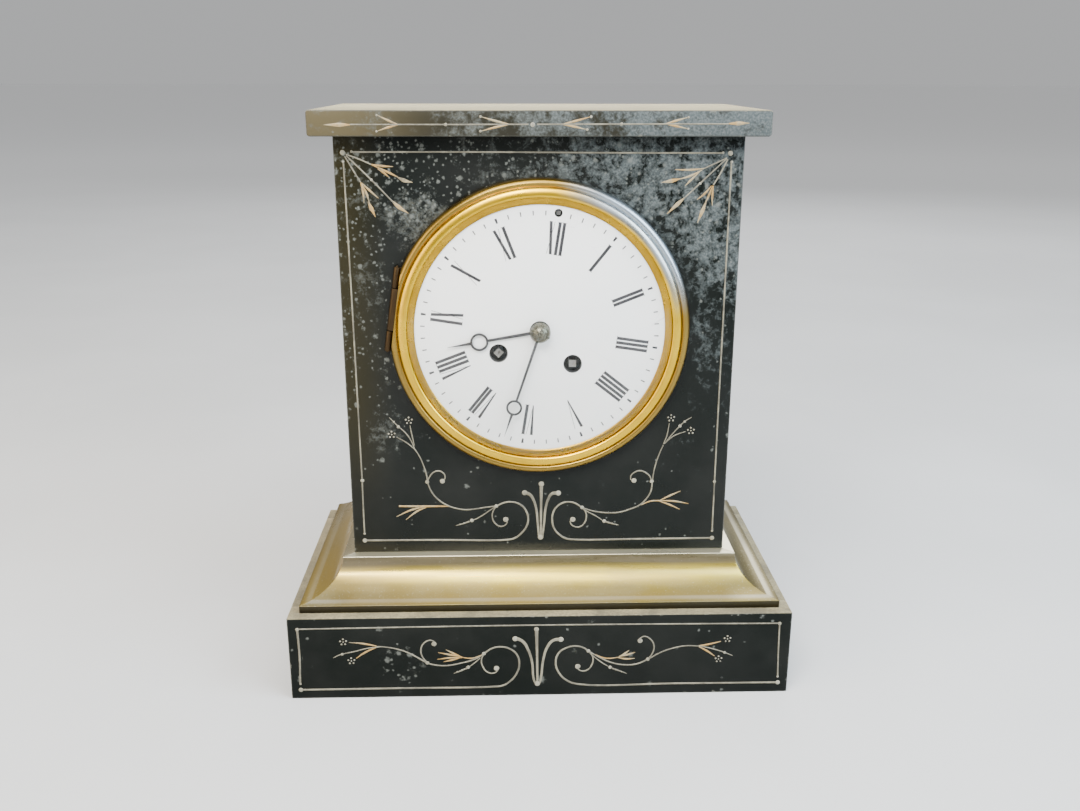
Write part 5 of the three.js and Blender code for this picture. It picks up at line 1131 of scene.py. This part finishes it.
NUMERAL_TOP = 44.2
NUMERAL_FOOT = 31.3
BAR = 1.24
BROAD = 1.14
FIVE_BROAD = (1.2, 0.4)
SERIF = 0.7
HAIR = 0.16
HAIR_HALF = 0.06
# Outer and inner radius of the marks for each minute and for each fifth
MINUTE_MARK = (48.1, 46.3)
FIFTH_MARK = (48.2, 46.2)
# Offsets of the upright bars, then of each broad slanting stroke at its top and foot
NUMERALS = {
    1: ([0.2], []), 2: ([-0.7, 1.05], []), 3: ([-1.8, 0, 1.85], []), 4: ([-3, -1.15, 0.7, 2.5], []),
    5: ([], [("V", -1.5, 0)]), 6: ([0.3], [("V", -3.2, -2.1)]), 7: ([0.25, 1.75], [("V", -3.2, -2.1)]),
    8: ([-0.7, 1.2, 3.1], [("V", -4, -2.9)]), 9: ([-1.6], [("X", 0.4, 1.95)]), 10: ([], [("X", -1.05, 1.15)]),
    11: ([1.55], [("X", -2.25, -0.35)]), 12: ([1.25, 3.05], [("X", -2.35, -0.75)]),
}
bold, hairlines = [], []
for hour, (bars, slants) in NUMERALS.items():
    angle = 30 * hour
    for across in bars:
        bold.append(ink_stroke(angle, NUMERAL_TOP, NUMERAL_FOOT, (across, across), (BAR, BAR)))
        for reach in (NUMERAL_TOP, NUMERAL_FOOT):
            ends = (BAR + SERIF, BAR + SERIF)
            hairlines.append(ink_stroke(angle, reach + HAIR_HALF, reach - HAIR_HALF, (across, across), ends))
    for kind, top, foot in slants:
        if kind == "V":
            broad, mirrored = FIVE_BROAD, (2 * foot - top, foot)
        else:
            broad, mirrored = (BROAD, BROAD), (foot, top)
        bold.append(ink_stroke(angle, NUMERAL_TOP, NUMERAL_FOOT, (top, foot), broad))
        hairlines.append(ink_stroke(angle, NUMERAL_TOP, NUMERAL_FOOT, mirrored, (HAIR, HAIR)))
for minute in range(60):
    if minute % 5:
        hairlines.append(ink_stroke(6 * minute, *MINUTE_MARK, (0, 0), (0.5, 0.4)))
    elif minute:
        bold.append(ink_stroke(6 * minute, *FIFTH_MARK, (0, 0), (1, 0.7)))
print_on_dial("dial_numerals", bold, dial_ink)
print_on_dial("dial_fine_marks", hairlines, faint_ink)

# Winding squares

MARK_FRONT = -36.5
MARK_BACK = -34.3
for name, across in (("strike_winding_arbor", -WINDING_ACROSS), ("going_winding_arbor", WINDING_ACROSS)):
    arbor = merged_copy(name)
    start = (across, MARK_FRONT, WINDING_HEIGHT)
    mark = rod("centre_mark", start, (across, MARK_BACK, WINDING_HEIGHT), radius=0.42, sides=24)
    mark.data.transform(MOVEMENT)
    drill(arbor, mark)
    fit(arbor, name, winding_steel, name, slot="steel", soft=30)

# Hands

HAND_THICKNESS = 0.6
HAND_EASE = 0.08


def circle_outline(centre_up, radius, count, start=0, end=360):
    """Points round a circle on the hand's long axis; angles are clockwise from the hand's tip."""
    points = []
    for number in range(count):
        angle = math.radians(start + (end - start) * number / (count - 1))
        points.append((radius * math.sin(angle), centre_up + radius * math.cos(angle)))
    return points


def flat_hand(name, boss, moon_at, moon, rim, shaft, neck, tip, back, angle):
    """A hand sawn from sheet: round boss, slim shaft, open ring and pointed tip, with eased edges."""
    boss_half = math.degrees(math.asin(shaft[0] / 2 / boss))
    low_half = math.degrees(math.asin(shaft[1] / 2 / moon))
    top_half = math.degrees(math.asin(neck / 2 / moon))
    outline = circle_outline(0, boss, 40, boss_half, 360 - boss_half)
    outline += circle_outline(moon_at, moon, 32, 180 + low_half, 360 - top_half)
    outline.append((0, tip))
    outline += circle_outline(moon_at, moon, 32, top_half, 180 - low_half)
    moon_hole = circle_outline(moon_at, moon - rim, 49)[:-1]
    arbor_hole = circle_outline(0, 1, 25)[:-1]
    curve = bpy.data.curves.new("dressed_" + name, "CURVE")
    curve.dimensions = "2D"
    curve.fill_mode = "BOTH"
    curve.extrude = (HAND_THICKNESS / 2 - HAND_EASE) * MM
    curve.bevel_depth = HAND_EASE * MM
    curve.bevel_resolution = 1
    for points in (outline, moon_hole, arbor_hole):
        spline = curve.splines.new("POLY")
        spline.points.add(len(points) - 1)
        for knot, (side, up) in zip(spline.points, points):
            knot.co = (side * MM, up * MM, 0, 1)
        spline.use_cyclic_u = True
    hand = bpy.data.objects.new("dressed_" + name, curve)
    bpy.context.scene.collection.objects.link(hand)
    pick(hand)
    bpy.ops.object.convert(target="MESH")
    hand = bpy.context.object
    edit_all(hand)
    bpy.ops.mesh.remove_doubles(threshold=1e-7)
    bpy.ops.mesh.normals_make_consistent(inside=False)
    leave_edit()
    upright = Matrix.Rotation(math.radians(90), 4, "X")
    turned = Matrix.Rotation(math.radians(angle), 4, "Y")
    depth = Matrix.Translation((0, (back - HAND_THICKNESS / 2) * MM, 0))
    hand.data.transform(MOVEMENT @ turned @ depth @ upright)
    fit(hand, name, dark_steel, name, slot="blued_steel", soft=35)


flat_hand(
    "hour_hand", boss=3.3, moon_at=24.8, moon=3.6, rim=0.74, shaft=(1.1, 0.85), neck=1.05, tip=36.7,
    back=-36, angle=251.6,
)
flat_hand(
    "minute_hand", boss=3, moon_at=33.3, moon=3.2, rim=0.68, shaft=(0.95, 0.75), neck=0.95, tip=45,
    back=-37.2, angle=189.8,
)

hub_profile = [
    (0, -37.8), (3.9, -37.8), (4.18, -38.05), (4.2, -38.5), (4.05, -38.8), (3.95, -38.95), (4, -39.2),
    (3.85, -39.8), (3.5, -40.5), (3, -41.15), (2.4, -41.65), (1.75, -42), (1.3, -42.15), (1.2, -42.3),
    (1.2, -42.7), (1.05, -42.85), (0.5, -42.9), (0, -42.9),
]
hub = turn("domed_hub", hub_profile, 64, 0.05)
pin = rod("hub_pin", (-3.9, -40.3, 1.2), (3.9, -40.3, -1.2), 0.45, 16, 0.1)
hub = join("domed_hub", [hub, pin])
fit(hub, "minute_hand", hub_steel, "hand_collet", slot="steel", soft=35, with_movement=True)

# Back ring, door, bell

RING_BACK = 53.4
DOOR_HINGE = (-44.4, 55.3)
DOOR_KNUCKLE_RADIUS = 1.6
KNOB_ACROSS = 41.0
STRAP_SCREW_REACH = 46.0
BELL_RADIUS = 33.0
BELL_WALL = 1.6
BELL_BORE = 2.1
BELL_OFFSET = (-4, 0, -2)
# How far round the bell's curve reaches, in degrees, and how full its shoulder is (less is fuller)
BELL_SWEEP = 86.5
BELL_SHOULDER = 0.68

back_profile = [
    (41, 52.2), (41.2, 52), (48.4, 52), (48.4, 44), (49.6, 44), (49.6, 52), (55.7, 52), (56, 52.3),
    (56, 52.8), (55.6, 53.2), (54.9, 53.4), (41.4, 53.4), (41, 53.1),
]
back_parts = [turn("back_ring_body", back_profile)]
for low, high in ((4.3, 9), (-9, -4.3)):
    back_parts.append(hinge_rod("ring_knuckle", DOOR_HINGE, low, high, DOOR_KNUCKLE_RADIUS, ease=0.18))
    back_parts.append(block("ring_web", (-45.5, 53, low), (-43.3, 55.3, high), 0.15))
back_ring = join("turned_back_ring", back_parts)
fit(back_ring, "case", case_brass, "back_ring", slot="brass", soft=30, with_movement=True)

door_profile = [
    (0, 55.3), (15, 55.15), (31.6, 54.98), (36, 54.3), (39.5, 53.7), (42.2, 53.7), (42.5, 54), (42.5, 54.6),
    (42.2, 54.9), (40.4, 54.9), (39.9, 55.15), (39.3, 55), (36, 55.6), (31.6, 56.18), (30.9, 56.05),
    (30.2, 56.22), (15, 56.42), (6, 56.48), (5.4, 56.3), (4.8, 56.5), (0, 56.5),
]
door_parts = [
    turn("door_disc", door_profile, 128, 0.06),
    hinge_rod("door_knuckle", DOOR_HINGE, -3.95, 3.95, DOOR_KNUCKLE_RADIUS, ease=0.18),
    block("door_leaf", (-44.4, 53.95, -3.9), (-40.6, 54.9, 3.9), 0.15),
]
door = join("dished_back_door", door_parts)
fit(door, "back_door", case_brass, "back_door", slot="brass", soft=25, with_movement=True)

knob_profile = [
    (0, 54.9), (1.5, 54.9), (1.25, 55.2), (1.15, 55.6), (1.5, 55.9), (2.3, 56.15), (2.45, 56.5), (2.45, 56.9),
    (2.2, 57.3), (1.5, 57.5), (0.8, 57.6), (0, 57.6),
]
knob = turn("door_knob", knob_profile, 48)
knob.data.transform(Matrix.Translation((KNOB_ACROSS * MM, 0, 0)))
fit(knob, "back_door", case_brass, "back_door_knob", slot="brass", soft=40, with_movement=True)

door_pin = hinge_rod("back_hinge_pin", DOOR_HINGE, -9.5, 9.5, radius=0.7, sides=20, ease=0.15)
fit(door_pin, "case", grey_steel, "back_door_hinge_pin", slot="steel", soft=40, with_movement=True)


def slotted_screw(name, head, shank, length):
    """A cheese-head screw along the depth axis, its slotted head standing on the origin."""
    head_profile = [(0, 0), (head, 0), (head, 0.75), (head * 0.9, 1.1), (head * 0.6, 1.25), (0, 1.3)]
    screw = turn(name, head_profile, 40)
    drill(screw, block("slot", (-0.28, 0.7, -head - 1), (0.28, 2, head + 1), 0))
    return join(name, [screw, rod("shank", (0, 0.1, 0), (0, -length, 0), shank, 20)])


for suffix, angle in (("upper", 150), ("lower", -30)):
    across = STRAP_SCREW_REACH * math.cos(math.radians(angle))
    height = STRAP_SCREW_REACH * math.sin(math.radians(angle))
    screw = slotted_screw("slotted_strap_screw_" + suffix, head=2.6, shank=1.5, length=34.9)
    # The slot's own turn, in radians, is the same number as the place across
    screw.data.transform(Matrix.Rotation(across, 4, "Y"))
    screw.data.transform(Matrix.Translation(Vector((across, RING_BACK, height)) * MM))
    fit(screw, "case", grey_steel, "strap_screw_" + suffix, slot="steel", soft=35, with_movement=True)

bell_low, bell_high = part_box("bell")
mouth, crown = bell_low.y / MM, bell_high.y / MM
bell_outer, bell_inner = [], []
for number in range(25):
    swing = math.radians(BELL_SWEEP * number / 24)
    reach, rise = math.cos(swing), math.sin(swing) ** BELL_SHOULDER
    bell_outer.append((BELL_RADIUS * reach, mouth + (crown - mouth) * rise))
    bell_inner.append(((BELL_RADIUS - BELL_WALL) * reach, mouth + (crown - mouth - BELL_WALL) * rise))
bore = [(BELL_BORE, crown), (BELL_BORE, crown - BELL_WALL)]
bell = turn("cast_bell", bell_outer + bore + bell_inner[::-1], 96)
bell.data.transform(Matrix.Translation(Vector(BELL_OFFSET) * MM))
fit(bell, "case", bell_bronze, "bell", slot="bell_metal", soft=40, with_movement=True)

# Remaining nodes keep their shape

NODE_FINISHES = {
    "slate": sawn_slate, "brass": movement_brass, "bezel_brass": bezel_brass, "steel": grey_steel,
    "blued_steel": dark_steel, "bell_metal": bell_bronze, "enamel": white_enamel, "glass": clear_glass,
}
# Parts behind the dial's holes take the brass painted dark as shade
OWN_FINISHES = {
    "front_plate": shade_painted_brass, "dial_pan": shade_painted_brass, "minute_wheel": shade_painted_brass,
    "hour_wheel": shade_painted_brass, "regulating_arbor": winding_steel,
}
for row in frame["record"]["subparts"]:
    node = frame["nodes"][row["node"]]
    if not node.hide_render:
        node.data.materials.clear()
        node.data.materials.append(OWN_FINISHES.get(row["node"], NODE_FINISHES[row["material_slot"]]))

# Studio

def floor_finish():
    """Pale floor that grows lighter away from the clock, to meet the backdrop without a line."""
    finish, place = new_finish("pale studio floor", (0.50, 0.50, 0.49), 0.85)
    patch = cloud(place, 260, 4, 0.5)
    grain = cloud(place, 2.2, 4, 0.6)
    colour = blend(band(patch, 0.3, 0.7), (0.485, 0.485, 0.48), (0.53, 0.53, 0.525))
    colour = blend(band(length(place), 0.5, 3.4), colour, (0.97, 0.97, 0.97))
    return coat(finish, colour=colour, normal=relief(grain, 0.1, 0.1), shine=0.1)


# The floor's radius in metres
FLOOR_RADIUS = 30

clear_selection()
bpy.ops.mesh.primitive_circle_add(vertices=96, radius=FLOOR_RADIUS, fill_type="NGON", location=(0, 0, 0))
floor = bpy.context.object
floor.name = "studio_floor"
floor.data.materials.append(floor_finish())

world = bpy.data.worlds.new("studio")
bpy.context.scene.world = world
world.use_nodes = True
backdrop = world.node_tree.nodes["Background"]
backdrop.inputs["Color"].default_value = (0.80, 0.81, 0.82, 1)
backdrop.inputs["Strength"].default_value = 0.6


def soft_light(name, at, toward, size, power, colour):
    lamp = bpy.data.lights.new(name, "AREA")
    lamp.shape = "RECTANGLE"
    lamp.size, lamp.size_y = size
    lamp.energy = power
    lamp.color = colour
    light = bpy.data.objects.new(name, lamp)
    bpy.context.scene.collection.objects.link(light)
    light.location = at
    light.rotation_euler = (Vector(toward) - Vector(at)).to_track_quat("-Z", "Y").to_euler()


# Place, target, size, power and colour of each soft light
LIGHTS = {
    "window": ((0.95, -0.58, 0.72), (0, 0, 0.14), (0.9, 0.9), 36, (0.70, 0.85, 1.0)),
    "warm_wall": ((-0.9, -0.55, 0.45), (0, 0, 0.12), (0.8, 0.8), 11, (1.0, 0.84, 0.62)),
    "front_key": ((-0.3, -1.0, 1.15), (0, 0, 0.14), (0.8, 0.45), 40, (1.0, 0.985, 0.96)),
    "overhead": ((0.0, -0.45, 1.25), (0, 0, 0.1), (1.1, 0.6), 18, (1.0, 0.98, 0.94)),
    "back_fill": ((0.3, 1.4, 1.1), (0, 0, 0.12), (1.0, 0.8), 14, (0.95, 0.97, 1.0)),
}
for name, light in LIGHTS.items():
    soft_light(name, *light)

# The photograph's camera: place in metres, angles in degrees, lens and sensor in millimetres
CAMERA_PLACE = (-0.0126, -0.4548, 0.2517)
CAMERA_YAW = -1.73
CAMERA_PITCH = -17.21
CAMERA_ROLL = 0.107
LENS = 35.61
SENSOR_WIDTH = 36.0

camera = bpy.data.objects.new("camera", bpy.data.cameras.new("camera"))
bpy.context.scene.collection.objects.link(camera)
camera.data.sensor_width = SENSOR_WIDTH
camera.data.lens = LENS
camera.data.clip_start = 0.01
camera.data.clip_end = 50.0
camera.matrix_world = (
    Matrix.Translation(CAMERA_PLACE)
    @ Matrix.Rotation(math.radians(CAMERA_YAW), 4, "Z")
    @ Matrix.Rotation(math.radians(90 + CAMERA_PITCH), 4, "X")
    @ Matrix.Rotation(math.radians(CAMERA_ROLL), 4, "Z")
)
bpy.context.scene.camera = camera
